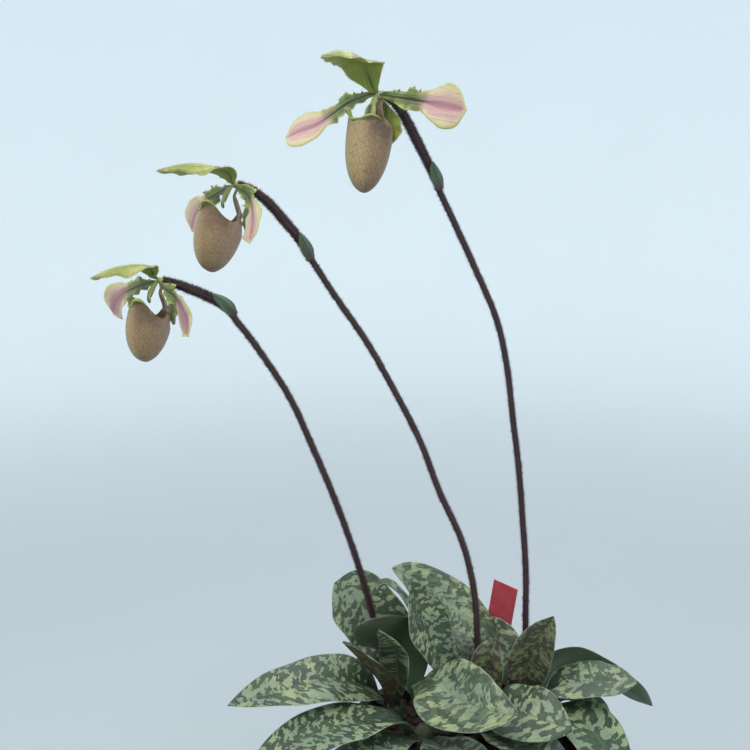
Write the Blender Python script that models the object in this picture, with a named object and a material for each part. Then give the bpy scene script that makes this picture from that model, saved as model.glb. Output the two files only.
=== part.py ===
"""A slipper orchid in its nursery pot: three flower stalks over a clump of mottled leaves.

Lengths are in millimetres and angles in degrees; MM turns the finished meshes into metres.
The origin is the middle of the pot's underside. +X is to the right in the photograph, +Y is away
from the viewer and +Z is up.
"""
import math
import random

import bpy
import numpy as np

MM = 0.001

# Pot: a plain black nursery pot of the 130 mm size
POT_HEIGHT = 107.0
POT_RIM_RADIUS = 66.0
POT_FOOT_RADIUS = 47.0
POT_WALL = 1.6
POT_FLOOR = 3.0
RIM_BAND_HEIGHT = 11.0
RIM_BAND_DEPTH = 2.4
POT_SIDES = 36
DRAIN_COUNT = 6
DRAIN_RADIUS = 4.0
DRAIN_CIRCLE = 33.0

# Bark mix that fills the pot, with plain holes for whatever stands in it
BARK_TOP = 98.0
BARK_GAP = 0.4
CHIP_SPACING = 13.0
CHIP_SEED = 11
HOLE_CLEARANCE = 0.6
HOLE_DEPTH = 18.0

LEAF_THICKNESS = 1.2
PETAL_THICKNESS = 0.8
POUCH_WALL = 1.0
SCAPE_RADIUS = 1.5
OVARY_RADIUS = 2.3

# Growths: the place of each crown, the lowest point its leaves spring from
CROWN_RADIUS = 6.0
CROWN_TOP = 110.0
CROWNS = {
    "crown_left": (-37, 30),
    "crown_middle": (4, 20),
    "crown_right": (40, 30),
    "crown_front": (-22, 3),
}

# Leaves: midrib from base to tip and full width. heading is the way that a steep leaf runs, seen
# from above. roll lifts the edge on the right of that way and fold lifts both edges, each given
# for the base and the tip. base is the width there over the greatest, and where that is reached.
# tip is where the leaf starts to taper, and the roundness of its end.
LEAVES = {
    "leaf_left_long": dict(
        route=[(-47, 28, 108.5), (-54, 18, 123.5), (-73, 4, 133.5), (-96, -9, 136), (-125, -20, 132)],
        width=38, roll=(22, 14), fold=(50, 14), base=(0.33, 0.32), tip=(0.42, 2.0)),
    "leaf_front_left_arched": dict(
        route=[(-31, -3, 107), (-38, -9, 117), (-52, -17, 122), (-72, -28, 123), (-93, -38, 118), (-113, -48, 107)],
        width=36, roll=(0, 6), fold=(55, 12)),
    "leaf_front_left_low": dict(
        route=[(-28, -10, 106), (-37, -20, 111), (-50, -33, 113), (-67, -48, 111), (-82, -60, 104)],
        width=32, roll=(0, 0), fold=(50, 12)),
    "leaf_front_low": dict(
        route=[(-19, -10, 106), (-13, -25, 111), (-5, -45, 113), (3, -64, 110)],
        width=34, roll=(0, 0), fold=(50, 12)),
    "leaf_centre_front": dict(
        route=[(-25, 23, 111), (-21, 12, 130), (-14, -3, 137.5), (-8, -18, 136.5), (2, -30, 137), (12, -38, 138), (22, -45, 140)],
        width=42, roll=(-10, -34), fold=(45, 12), base=(0.2, 0.62), tip=(0.5, 2.2)),
    "leaf_right_front": dict(
        route=[(10.5, 8, 108.5), (19, 0, 122), (28, -12, 124), (39, -20, 124), (52, -28, 123)],
        width=36, roll=(-10, -30), fold=(50, 12), base=(0.3, 0.5)),
    "leaf_right_upper": dict(
        route=[(47, 23, 110), (54, 18, 123), (64, 12, 129), (76, 6, 132), (92, 0, 135)],
        width=34, roll=(0, -16), fold=(50, 12), base=(0.5, 0.3)),
    "leaf_right_arched": dict(
        route=[(47, 34, 111), (55, 38, 124), (69, 40, 126.5), (88, 34, 119), (108, 24, 108.5)],
        width=35, roll=(50, 46), fold=(50, 12), base=(0.4, 0.4)),
    "leaf_right_back_low": dict(
        route=[(51, 29, 106), (65, 31, 110), (76, 27, 104), (83, 17, 91)],
        width=28, roll=(0, 0), fold=(50, 12)),
    "leaf_right_drooping": dict(
        route=[(45, 20, 107), (56, 0, 117), (66, -15, 114), (73, -29, 104), (79, -38, 91)],
        width=33, roll=(0, -5), fold=(50, 12)),
    "leaf_front_shaded": dict(
        route=[(8, 10, 105), (21, -12, 111), (34, -30, 113), (47, -47, 111)],
        width=32, roll=(0, 0), fold=(50, 12)),
    "leaf_young_right": dict(
        route=[(37, 22, 110), (36, 19, 134), (40, 15, 152), (48, 11, 168)],
        width=24, heading=80, roll=(0, 0), fold=(60, 30), base=(0.34, 0.45)),
    "leaf_young_middle": dict(
        route=[(8, 17, 112), (12, 12.5, 134.5), (13, 11, 146), (17, 10, 156)],
        width=20, heading=80, roll=(0, 0), fold=(60, 30)),
    "leaf_upright_middle": dict(
        route=[(-3.5, 26, 110), (-13, 29, 136), (-20, 30.5, 153), (-25.5, 31, 168.5), (-29, 29, 180.5)],
        width=37, heading=138, roll=(0, 0), fold=(60, 25), base=(0.2, 0.7)),
    "leaf_back_tall": dict(
        route=[(2, 33, 110), (9, 38, 125), (14, 44, 139), (10, 49, 146), (0, 55, 153), (-13, 61, 161), (-26, 64, 169),
               (-39, 64, 175)],
        width=35, heading=145, roll=(0, 14), fold=(50, 12), base=(0.2, 0.64), tip=(0.55, 3.0)),
    "leaf_back_far": dict(
        route=[(30.3, 39.3, 107), (28.7, 41.8, 121), (26.3, 45.2, 130.5), (20.9, 52.4, 135.6), (14.4, 59.5, 138.4), (7, 65.1, 140.8)],
        width=27, heading=150, roll=(48, 66), fold=(50, 8), base=(0.18, 0.6)),
    "leaf_back_left_round": dict(
        route=[(-34, 44, 112), (-43, 54, 135), (-53, 59, 149), (-63, 63, 158.5), (-73, 65, 165)],
        width=44, heading=120, roll=(0, 0), fold=(50, 8), base=(0.2, 0.5), tip=(0.6, 4.0)),
    "leaf_curled_tip": dict(
        route=[(-5, 33, 110), (-13, 43, 133), (-28, 44, 158), (-37, 44, 171), (-44, 42, 174), (-48, 37, 170)],
        width=20, roll=(0, 0), fold=(50, 10)),
    "leaf_hooded": dict(
        route=[(-27, 36, 110), (-28, 36, 130), (-36, 32, 146), (-47, 19, 156), (-57, 5, 166)],
        width=31, heading=215, roll=(-20, -60), fold=(30, 4), base=(0.3, 0.5), tip=(0.5, 3.0)),
    "leaf_striped_young": dict(
        route=[(-35.5, 20.5, 111), (-36, 15.5, 133), (-37, 11.5, 148), (-41, 6, 158), (-47, 2, 164)],
        width=20, heading=60, roll=(0, 0), fold=(50, 40), base=(0.22, 0.5)),
    "leaf_left_pointed": dict(
        route=[(-40, 16, 112), (-46, 6.5, 132), (-55, 0, 146.5), (-65.5, -9, 162.5)],
        width=26, roll=(0, 10), fold=(50, 40), base=(0.22, 0.5)),
    "leaf_back_low_left": dict(
        route=[(-25, 43, 105), (-36, 62, 112), (-48, 82, 110), (-53, 100, 97)],
        width=30, roll=(0, 0), fold=(50, 12)),
    "leaf_back_low_middle": dict(
        route=[(13, 41, 107), (3.5, 58, 125), (-2, 78, 130), (-8, 98, 119)],
        width=34, roll=(0, 0), fold=(50, 12)),
    "leaf_back_low_right": dict(
        route=[(43, 44.5, 107), (41, 60, 114), (47, 78, 113), (55, 95, 101)],
        width=30, roll=(0, 0), fold=(50, 12)),
}
LEAF_ROWS = 9
LEAF_COLUMNS = 5

# Stalks, from the foot in the bark up to the bract
SCAPES = {
    "scape_right": [(37.5, 40.5, 83), (37.5, 40.5, 104), (37.8, 40.5, 125), (37.5, 40, 153), (37, 41, 183), (34.5, 41, 212),
                    (31.5, 40, 242), (27.5, 39, 270), (23.5, 38, 299), (17, 36, 326), (5, 33, 353), (-8, 30, 380),
                    (-15, 28, 394)],
    "scape_middle": [(8, 31, 83), (8, 31, 104), (9, 30, 125), (9, 30, 145), (7, 32, 173), (0, 33, 202),
                     (-13, 33, 231), (-24, 32, 260), (-38, 31, 288), (-53, 29, 315), (-71, 26, 342),
                     (-81, 24, 358)],
    "scape_left": [(-42, 37, 83), (-42, 37, 104), (-43.5, 39.5, 122), (-46.8, 41, 140.5), (-52.5, 38.5, 166.5), (-61, 31, 199),
                   (-71, 28, 229), (-82, 24, 258), (-94, 20, 287), (-110, 16, 314), (-120, 14, 328)],
}

# Flowers. facing is how far the flower has turned from the viewer to the left. ovary runs from the
# stalk to the flower. dorsal_turn is how far the hooded sepal has turned at its base and its tip.
# pouch gives its drop from rim to toe, half width, half depth, how far its middle stands in front
# of the ovary's end, and how far the toe leads the rim. ears is how high its rim's two ears rise.
FLOWERS = {
    "upper": dict(
        facing=41, size=1.0,
        ovary=[(-15.3, 27.9, 395), (-21, 27, 408), (-28, 23, 421), (-35, 17, 433), (-41, 10, 439), (-46, 5.5, 440.5)],
        dorsal=[(-49.3, 2.5, 442.8), (-51.2, 4.2, 448.8), (-53.6, 3.4, 454.4), (-56.8, -2, 457.6), (-61.6, -10, 458.6),
                (-67, -19, 457.6), (-72.7, -29, 454.2)],
        dorsal_width=23, dorsal_turn=(20, 45),
        petal_left=[(-51.5, 5, 440.6), (-61.2, 14, 437.6), (-68.9, 20, 433.3), (-77.9, 27, 427.9), (-87.7, 34, 424.8),
                    (-95.5, 40, 422.1)],
        left_face=((-0.6, -0.8, 0.2), (-0.5, -0.65, 0.5)),
        petal_right=[(-44, 0.5, 440.2), (-36.7, -5, 438.2), (-27.5, -14, 435.9), (-18.6, -23, 433.3),
                     (-12.2, -29, 431.4), (-7.1, -34, 430.1)],
        right_face=((-0.66, -0.75, 0.3), (-0.66, -0.75, 0.0)),
        petal_widths=(20.5, 20.5), pouch=(33.7, 10.5, 11.0, 5.0, 5.6), ears=(4.6, 0.8)),
    "middle": dict(
        facing=75, size=0.92,
        ovary=[(-82.3, 23.9, 359), (-88, 23, 370), (-95, 21, 379), (-103, 18, 388.5), (-111, 14, 395),
               (-117.5, 8.5, 397.6)],
        dorsal=[(-119.6, 5.6, 398.8), (-120, 6, 401.8), (-122.4, 5, 404.6), (-129, 3, 406.3), (-136.8, 0, 407.4),
                (-146.1, -3, 406.3), (-154.7, -6, 403.8)],
        dorsal_width=22.5, dorsal_turn=(35, 78),
        petal_left=[(-122, 9.5, 396), (-129, 18, 393), (-137.5, 27, 388), (-143.1, 34, 381.7), (-146.6, 40, 373.1)],
        left_face=((-0.8, -0.5, 0.2), (-0.65, -0.75, 0.1)),
        petal_right=[(-116.5, 2.2, 396), (-110.9, -6, 393.4), (-107.6, -14, 388.6), (-106, -21, 381.6),
                     (-106.1, -25, 376.1), (-107.3, -28, 369.7)],
        right_face=((-0.9, -0.3, 0.2), (-0.8, -0.6, 0.1)),
        petal_widths=(18, 19), pouch=(30.0, 10.5, 12.4, 4.9, 6.9), ears=(2.2, 3.6)),
    "lower": dict(
        facing=65, size=0.88,
        ovary=[(-121.3, 13.9, 331), (-127, 13, 337), (-136, 12, 342), (-145, 10, 346), (-150.5, 8, 348.3),
               (-156, 5.5, 350)],
        dorsal=[(-160, 3.5, 352), (-160.2, 4.5, 354.5), (-161.9, 4, 357), (-167, 1, 358), (-174.3, -2, 357.5),
                (-181.2, -6, 355.6), (-188.1, -10, 351.9)],
        dorsal_width=21, dorsal_turn=(30, 70),
        petal_left=[(-162, 7.5, 348.5), (-170.9, 15.0, 345.8), (-179.3, 22.0, 341.9), (-185.3, 28.0, 336.0),
                    (-188.5, 32.0, 329.7)],
        left_face=((-0.7, -0.6, 0.4), (-0.45, -0.85, 0.2)),
        petal_right=[(-155.8, -0.5, 348.5), (-150.6, -8, 346.4), (-144.7, -16, 342.7), (-140.2, -23, 337.2),
                     (-137.5, -28, 331.5), (-137, -32, 326.3)],
        right_face=((-0.9, -0.4, 0.2), (-0.9, -0.45, 0.1)),
        petal_widths=(20.5, 17), pouch=(27.5, 9.8, 11.4, 3.9, 4.5), ears=(2.6, 3.0)),
}

# Share of the greatest half width along each kind of blade
DORSAL_OUTLINE = [(0, 0.24), (0.12, 0.6), (0.22, 0.95), (0.38, 1.0), (0.62, 0.86), (0.85, 0.5), (1, 0.06)]
PETAL_OUTLINE = [(0, 0.17), (0.15, 0.3), (0.3, 0.55), (0.47, 0.42), (0.62, 0.74), (0.8, 1.0), (0.93, 0.66), (1, 0.1)]
SYNSEPAL_OUTLINE = [(0, 0.25), (0.2, 0.7), (0.5, 1.0), (0.75, 0.85), (1, 0.12)]

# How far a sepal's edges fold towards its inner side, at shares of its length
FOLD_PLACES = [0, 0.3, 0.5, 1]
DORSAL_FOLDS = [22, 14, 50, 50]
SYNSEPAL_FOLDS = [14, 15, 15, 12]

# Pouch: height of the rim at angles from its front, how far the ears beside its front rise above
# that, and girth at shares of the way down to the toe
RIM_HEIGHTS = [(0, 0), (45, 0), (67.5, -0.6), (90, -4.4), (112.5, -5.6), (135, -1.6), (157.5, 3.6), (180, 7.2)]
RIM_TO_FLOWER = 12.6
POUCH_GIRTH = [(0, 0.94), (0.12, 0.97), (0.3, 1.0), (0.5, 0.95), (0.68, 0.82), (0.83, 0.62), (0.94, 0.36)]
POUCH_SIDES = 16
POUCH_BACK = 0.85

BRACT_LENGTH = 15.5
BRACT_WIDTH = 7.8
BRACT_SIDE = np.array([0.15, -0.75, 0.65])

# Blank label: width, height above its shoulders, thickness, and the stake below
LABEL_FOOT_PLACE = (23, 52.2)
LABEL_LEAN = 0.125
LABEL_SLANT = 0.19
LABEL_NECK = 132.0
LABEL_WIDTH = 16.5
LABEL_THICKNESS = 0.8
LABEL_TURN = -38.0
LABEL_TOP = (168.5, 166.0)
LABEL_SHOULDER = 140.0
LABEL_STAKE_WIDTH = 9.0
LABEL_FOOT = 86.0


def clear_scene():
    """Removes the objects of the scene that the script starts in."""
    for found in list(bpy.data.objects):
        bpy.data.objects.remove(found)


def finish(name, colour, roughness):
    """A plain material of one colour."""
    material = bpy.data.materials.new(name)
    material.use_nodes = True
    shader = material.node_tree.nodes["Principled BSDF"]
    shader.inputs["Base Color"].default_value = (*colour, 1)
    shader.inputs["Roughness"].default_value = roughness
    return material


def unit(vectors):
    """Vectors scaled to length one, row by row."""
    vectors = np.asarray(vectors, float)
    return vectors / np.maximum(np.linalg.norm(vectors, axis=-1, keepdims=True), 1e-9)


def smoothstep(x):
    x = np.clip(x, 0, 1)
    return x * x * (3 - 2 * x)


def smooth_route(points, count):
    """Count points, evenly spaced along a smooth curve through the given ones."""
    points = np.asarray(points, float)
    ends = np.vstack([2 * points[0] - points[1], points, 2 * points[-1] - points[-2]])
    dense = []
    for i in range(1, len(ends) - 2):
        before, start, end, after = ends[i - 1:i + 3]
        for t in np.linspace(0, 1, 16, endpoint=False):
            dense.append(0.5 * (2 * start + (end - before) * t
                                + (2 * before - 5 * start + 4 * end - after) * t ** 2
                                + (3 * start - before - 3 * end + after) * t ** 3))
    dense = np.array(dense + [points[-1]])
    along = np.concatenate([[0], np.cumsum(np.linalg.norm(np.diff(dense, axis=0), axis=1))])
    wanted = np.linspace(0, along[-1], count)
    return np.stack([np.interp(wanted, along, dense[:, k]) for k in range(3)], axis=1)


def outline(pairs, share):
    """Half widths read off a list of pairs: share of the length, share of the greatest half width."""
    places, values = np.array(pairs, float).T
    return np.interp(share, places, values)


def leaf_outline(share, base, tip):
    """A leaf's half width over its greatest, from its clasping base to its pointed end."""
    from_base = base[0] + (1 - base[0]) * smoothstep(share / base[1])
    to_tip = 1 - np.clip((share - tip[0]) / (1 - tip[0]), 0, 1) ** tip[1]
    return from_base * np.maximum(to_tip, 0.03) ** 0.85


def blade_surface(route, half_width, side, roll, fold, columns):
    """Rows of points across a blade. side points to its right edge; the other lists have a value a row."""
    tangent = unit(np.gradient(route, axis=0))
    side = unit(side - tangent * (tangent * side).sum(axis=1, keepdims=True))
    normal = np.cross(side, tangent)
    turn = np.radians(roll)[:, None]
    side, normal = side * np.cos(turn) + normal * np.sin(turn), normal * np.cos(turn) - side * np.sin(turn)
    across = np.linspace(-1, 1, columns)
    reach = np.abs(across)[None, :] * half_width[:, None]
    lift = np.radians(fold)[:, None] * (1 - 0.45 * np.abs(across))[None, :]
    out = np.sign(across)[None, :] * reach * np.cos(lift)
    up = reach * np.sin(lift)
    return route[:, None, :] + side[:, None, :] * out[..., None] + normal[:, None, :] * up[..., None]


def mesh_object(name, points, faces, material):
    """An object with a mesh of the given points in millimetres."""
    mesh = bpy.data.meshes.new(name)
    mesh.from_pydata((np.asarray(points) * MM).tolist(), [], faces)
    mesh.update()
    mesh.materials.append(material)
    body = bpy.data.objects.new(name, mesh)
    bpy.context.scene.collection.objects.link(body)
    return body


def thicken(body, thickness, offset=0.0):
    solid = body.modifiers.new("thickness", "SOLIDIFY")
    solid.thickness = thickness * MM
    solid.offset = offset
    return body


def blade_object(name, surface, thickness, material):
    """A leaf, sepal or petal: a grid of points as triangles, thickened equally both ways."""
    rows, columns = surface.shape[:2]
    faces = []
    for i in range(rows - 1):
        for j in range(columns - 1):
            a, b = i * columns + j, i * columns + j + 1
            c, d = a + columns, b + columns
            faces += [(a, b, d), (a, d, c)] if j < (columns - 1) / 2 else [(a, b, c), (b, d, c)]
    return thicken(mesh_object(name, surface.reshape(-1, 3), faces, material), thickness)


def loft_object(name, route, half_widths, half_depths, sides, width_way, material):
    """A solid with an oval section that follows route, closed at both ends by flat caps."""
    route = np.asarray(route, float)
    tangent = unit(np.gradient(route, axis=0))
    side = unit(width_way - tangent * (tangent * width_way).sum(axis=1, keepdims=True))
    normal = np.cross(side, tangent)
    angles = np.arange(sides) * 2 * math.pi / sides
    ring = (side[:, None, :] * np.cos(angles)[None, :, None] * np.asarray(half_widths)[:, None, None]
            + normal[:, None, :] * np.sin(angles)[None, :, None] * np.asarray(half_depths)[:, None, None])
    points = (route[:, None, :] + ring).reshape(-1, 3)
    faces = []
    for i in range(len(route) - 1):
        for j in range(sides):
            k = (j + 1) % sides
            a, b, c, d = i * sides + j, i * sides + k, (i + 1) * sides + j, (i + 1) * sides + k
            faces += [(a, c, d), (a, d, b)]
    last = (len(route) - 1) * sides
    faces += [(0, j, j + 1) for j in range(1, sides - 1)]
    faces += [(last, last + j + 1, last + j) for j in range(1, sides - 1)]
    return mesh_object(name, points, faces, material)


def cut_with(body, cutter):
    """Cuts the cutter out of body and keeps the cutter out of the build."""
    cut = body.modifiers.new("cut " + cutter.name, "BOOLEAN")
    cut.operation = "DIFFERENCE"
    cut.solver = "MANIFOLD"
    cut.object = cutter
    cutter.hide_render = True
    cutter.display_type = "WIRE"


def heading_of(route):
    way = np.asarray(route[-1], float) - np.asarray(route[0], float)
    return math.degrees(math.atan2(way[1], way[0]))


def add_leaf(name, row, material):
    route = smooth_route(row["route"], LEAF_ROWS)
    share = np.linspace(0, 1, LEAF_ROWS)
    heading = math.radians(row.get("heading", heading_of(row["route"])))
    side = np.tile([math.sin(heading), -math.cos(heading), 0.0], (LEAF_ROWS, 1))
    half_width = row["width"] / 2 * leaf_outline(share, row.get("base", (0.32, 0.45)), row.get("tip", (0.5, 2.3)))
    roll = row["roll"][0] + (row["roll"][1] - row["roll"][0]) * smoothstep(share * 1.4)
    fold = row["fold"][0] + (row["fold"][1] - row["fold"][0]) * smoothstep(share * 2.2)
    surface = blade_surface(route, half_width, side, roll, fold, LEAF_COLUMNS)
    return blade_object(name, surface, LEAF_THICKNESS, material)


def add_crown(name, place, material):
    """The short, oval stem that a growth's leaves come from, standing in the bark."""
    heights = [BARK_TOP - HOLE_DEPTH + 2, BARK_TOP + 2, CROWN_TOP - 4, CROWN_TOP - 1, CROWN_TOP]
    girths = [0.8, 1.0, 0.9, 0.65, 0.3]
    route = [(place[0], place[1], z) for z in heights]
    half_widths = [CROWN_RADIUS * g for g in girths]
    half_depths = [CROWN_RADIUS * 0.85 * g for g in girths]
    return loft_object(name, route, half_widths, half_depths, 12, np.array([1.0, 0, 0]), material)


def add_tube(name, points, count, radii, sides, material):
    """A round stalk through points; radii is its radius at evenly spaced places along it."""
    share = np.linspace(0, 1, count)
    radius = np.interp(share, np.linspace(0, 1, len(radii)), radii)
    return loft_object(name, smooth_route(points, count), radius, radius, sides, np.array([0, 1.0, 0.02]), material)


def turning_side(turns, count):
    """The way to the right edge of a blade that turns to the left from its base to its tip."""
    turn = np.radians(turns[0] + (turns[1] - turns[0]) * smoothstep(np.linspace(-0.3, 1.9, count)))
    return np.stack([np.cos(turn), -np.sin(turn), np.zeros(count)], axis=1)


def add_sepal(name, points, count, width, shape, side, fold, material):
    share = np.linspace(0, 1, count)
    half_width = width / 2 * outline(shape, share)
    folds = np.interp(share, FOLD_PLACES, fold)
    surface = blade_surface(smooth_route(points, count), half_width, side, np.zeros(count), folds, 5)
    return blade_object(name, surface, PETAL_THICKNESS, material)


def add_petal(name, points, width, faces, material):
    """A petal whose inner face turns from faces[0] at its claw to faces[1] at its end."""
    count = 10
    share = np.linspace(0, 1, count)
    route = smooth_route(points, count)
    face = np.asarray(faces[0])[None, :] + (np.subtract(faces[1], faces[0]))[None, :] * smoothstep(share)[:, None]
    side = np.cross(unit(np.gradient(route, axis=0)), face)
    half_width = width / 2 * outline(PETAL_OUTLINE, share)
    surface = blade_surface(route, half_width, side, np.zeros(count), np.full(count, 14.0), 5)
    return blade_object(name, surface, PETAL_THICKNESS, material)


def pouch_back(shape, drop):
    """How far in front of the ovary's end the pouch's back stands, a given drop below it."""
    length, _, half_depth, ahead, lean = shape
    share = np.clip((drop - RIM_TO_FLOWER) / length, 0, 1)
    return ahead + lean * share - POUCH_BACK * half_depth * outline(POUCH_GIRTH, share)


def add_pouch(name, joint, front, right, shape, ears, material):
    """The slipper: rings of points from its wavy rim down to the toe, thickened inward."""
    drop, half_width, half_depth, ahead, lean = shape
    up = np.array([0, 0, 1.0])
    angles = np.arange(POUCH_SIDES) * 2 * math.pi / POUCH_SIDES
    from_front = np.degrees(np.minimum(angles, 2 * math.pi - angles))
    rim = np.interp(from_front, *np.array(RIM_HEIGHTS, float).T)
    rim = rim + np.interp(from_front, [15, 45, 72], [0, 1, 0]) * np.where(angles < math.pi, ears[1], ears[0])
    bow = 0.6 * np.maximum(rim + 2, 0) * (from_front > 120)
    points = []
    for share, girth in POUCH_GIRTH:
        centre = joint + front * (ahead + lean * share) - up * (RIM_TO_FLOWER + drop * share)
        claw = 1 - 0.4 * (from_front > 140) * (share == 0)
        keep = max(0.0, 1 - share / 0.45)
        for k, angle in enumerate(angles):
            reach = half_depth * girth * (1 if math.cos(angle) > 0 else POUCH_BACK)
            points.append(centre + right * math.sin(angle) * half_width * girth * claw[k]
                          + front * (math.cos(angle) * reach + bow[k] * keep) + up * rim[k] * keep)
    points.append(joint + front * (ahead + lean) - up * (RIM_TO_FLOWER + drop))
    faces = []
    for i in range(len(POUCH_GIRTH) - 1):
        for j in range(POUCH_SIDES):
            k = (j + 1) % POUCH_SIDES
            a, b = i * POUCH_SIDES + j, i * POUCH_SIDES + k
            c, d = a + POUCH_SIDES, b + POUCH_SIDES
            faces += [(a, b, d), (a, d, c)]
    last = (len(POUCH_GIRTH) - 1) * POUCH_SIDES
    faces += [(last + j, last + (j + 1) % POUCH_SIDES, len(points) - 1) for j in range(POUCH_SIDES)]
    return thicken(mesh_object(name, points, faces, material), POUCH_WALL, -1.0)


def add_flower(name, flower, scape_end, materials):
    """The ovary, bract, sepals, petals, pouch and column of one flower."""
    joint = np.asarray(flower["ovary"][-1], float)
    turn = math.radians(flower["facing"])
    front = np.array([-math.sin(turn), -math.cos(turn), 0.0])
    right = np.array([math.cos(turn), -math.sin(turn), 0.0])
    up = np.array([0, 0, 1.0])
    size = flower["size"]
    joint = joint + front * 1.5
    add_tube("ovary_" + name, flower["ovary"], 9, [1.5, 2.1, OVARY_RADIUS, OVARY_RADIUS, 2.0, 1.7], 8,
             materials["stalk"])
    add_bract("bract_" + name, flower["ovary"], materials["bract"])
    add_sepal("dorsal_sepal_" + name, flower["dorsal"], 10, flower["dorsal_width"], DORSAL_OUTLINE,
              turning_side(flower["dorsal_turn"], 10), DORSAL_FOLDS, materials["sepal"])
    hang = [joint + front * (pouch_back(flower["pouch"], drop) - 2.2) - up * drop
            for drop in (5.5, 11 * size, 18 * size, 26 * size)]
    add_sepal("synsepal_" + name, hang, 6, 22 * size, SYNSEPAL_OUTLINE, np.tile(-right, (6, 1)), SYNSEPAL_FOLDS,
              materials["sepal"])
    add_petal("petal_left_" + name, flower["petal_left"], flower["petal_widths"][0], flower["left_face"],
              materials["petal"])
    add_petal("petal_right_" + name, flower["petal_right"], flower["petal_widths"][1], flower["right_face"],
              materials["petal"])
    add_pouch("pouch_" + name, joint, front, right, flower["pouch"], flower["ears"], materials["pouch"])
    column = [joint + (front * f - up * d) * size
              for f, d in ((1.4, 0.6), (3.0, 2.6), (4.6, 5.2), (5.8, 7.6), (6.6, 10.2), (6.6, 12.4))]
    loft_object("column_" + name, column, np.array([1.0, 1.4, 2.0, 3.3, 3.0, 0.7]) * size,
                np.array([1.0, 1.3, 1.4, 1.5, 1.2, 0.5]) * size, 8, right, materials["column"])


def add_bract(name, ovary, material):
    """The sheath on the ovary's foot: a folded blade that lies along the ovary's upper side."""
    along = smooth_route(ovary, 41)
    length = np.linalg.norm(np.diff(along, axis=0), axis=1).sum()
    count = 7
    share = np.linspace(0, 1, count)
    places = np.round(share * BRACT_LENGTH / length * 40).astype(int)
    tangent = unit(np.gradient(along, axis=0))[places]
    outward = unit(BRACT_SIDE - tangent * (tangent @ BRACT_SIDE)[:, None])
    route = along[places] + outward * np.interp(share, [0, 0.3, 1], [2.9, 3.9, 4.1])[:, None]
    half_width = BRACT_WIDTH / 2 * outline([(0, 0.5), (0.3, 1), (0.6, 0.9), (0.85, 0.5), (1, 0.1)], share)
    surface = blade_surface(route, half_width, np.cross(tangent, -outward), np.zeros(count), np.full(count, 48.0), 5)
    return blade_object(name, surface, PETAL_THICKNESS, material)


def add_pot(material):
    """The pot as a turned profile, with its drain holes cut around the middle of the floor."""
    slope = (POT_RIM_RADIUS - RIM_BAND_DEPTH - POT_FOOT_RADIUS) / POT_HEIGHT
    under_band = POT_HEIGHT - RIM_BAND_HEIGHT
    profile = [
        (0, 0), (POT_FOOT_RADIUS - 2, 0), (POT_FOOT_RADIUS, 2), (POT_FOOT_RADIUS + slope * under_band, under_band),
        (POT_RIM_RADIUS - 0.6, under_band + 0.6), (POT_RIM_RADIUS, under_band + 2),
        (POT_RIM_RADIUS, POT_HEIGHT - 0.8), (POT_RIM_RADIUS - 0.8, POT_HEIGHT), (POT_RIM_RADIUS - 2.2, POT_HEIGHT),
        (inner_radius(POT_HEIGHT - 0.8), POT_HEIGHT - 0.8), (inner_radius(POT_FLOOR), POT_FLOOR), (0, POT_FLOOR),
    ]
    points = [(r, 0, z) for r, z in profile]
    mesh = bpy.data.meshes.new("pot")
    mesh.from_pydata((np.array(points) * MM).tolist(), [(i, i + 1) for i in range(len(points) - 1)], [])
    mesh.materials.append(material)
    pot = bpy.data.objects.new("pot", mesh)
    bpy.context.scene.collection.objects.link(pot)
    turn = pot.modifiers.new("turn", "SCREW")
    turn.steps = POT_SIDES
    turn.render_steps = POT_SIDES
    turn.use_merge_vertices = True
    turn.merge_threshold = 1e-6
    turn.use_normal_calculate = True
    holes = [((DRAIN_CIRCLE * math.cos(a), DRAIN_CIRCLE * math.sin(a), -5), DRAIN_RADIUS, DRAIN_RADIUS, 12, 0)
             for a in np.arange(DRAIN_COUNT) * 2 * math.pi / DRAIN_COUNT]
    cut_with(pot, pillars("drain holes", holes, 10, material))
    return pot


def inner_radius(height):
    """Radius of the pot's inside at a height."""
    slope = (POT_RIM_RADIUS - RIM_BAND_DEPTH - POT_FOOT_RADIUS) / POT_HEIGHT
    return POT_FOOT_RADIUS - POT_WALL + slope * height


def pillars(name, rows, height, material):
    """Upright prisms in one mesh. Each row has a foot, half width, half depth, sides and turn."""
    points, faces = [], []
    for foot, half_width, half_depth, sides, turn in rows:
        first = len(points)
        start = math.pi / 4 if sides == 4 else 0
        stretch = math.sqrt(2) if sides == 4 else 1
        for z in (foot[2], foot[2] + height):
            for k in range(sides):
                a = start + k * 2 * math.pi / sides
                x, y = half_width * stretch * math.cos(a), half_depth * stretch * math.sin(a)
                points.append((foot[0] + x * math.cos(turn) - y * math.sin(turn),
                               foot[1] + x * math.sin(turn) + y * math.cos(turn), z))
        faces.append(tuple(first + k for k in reversed(range(sides))))
        faces.append(tuple(first + sides + k for k in range(sides)))
        faces += [(first + k, first + (k + 1) % sides, first + sides + (k + 1) % sides, first + sides + k)
                  for k in range(sides)]
    return mesh_object(name, points, faces, material)


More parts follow.
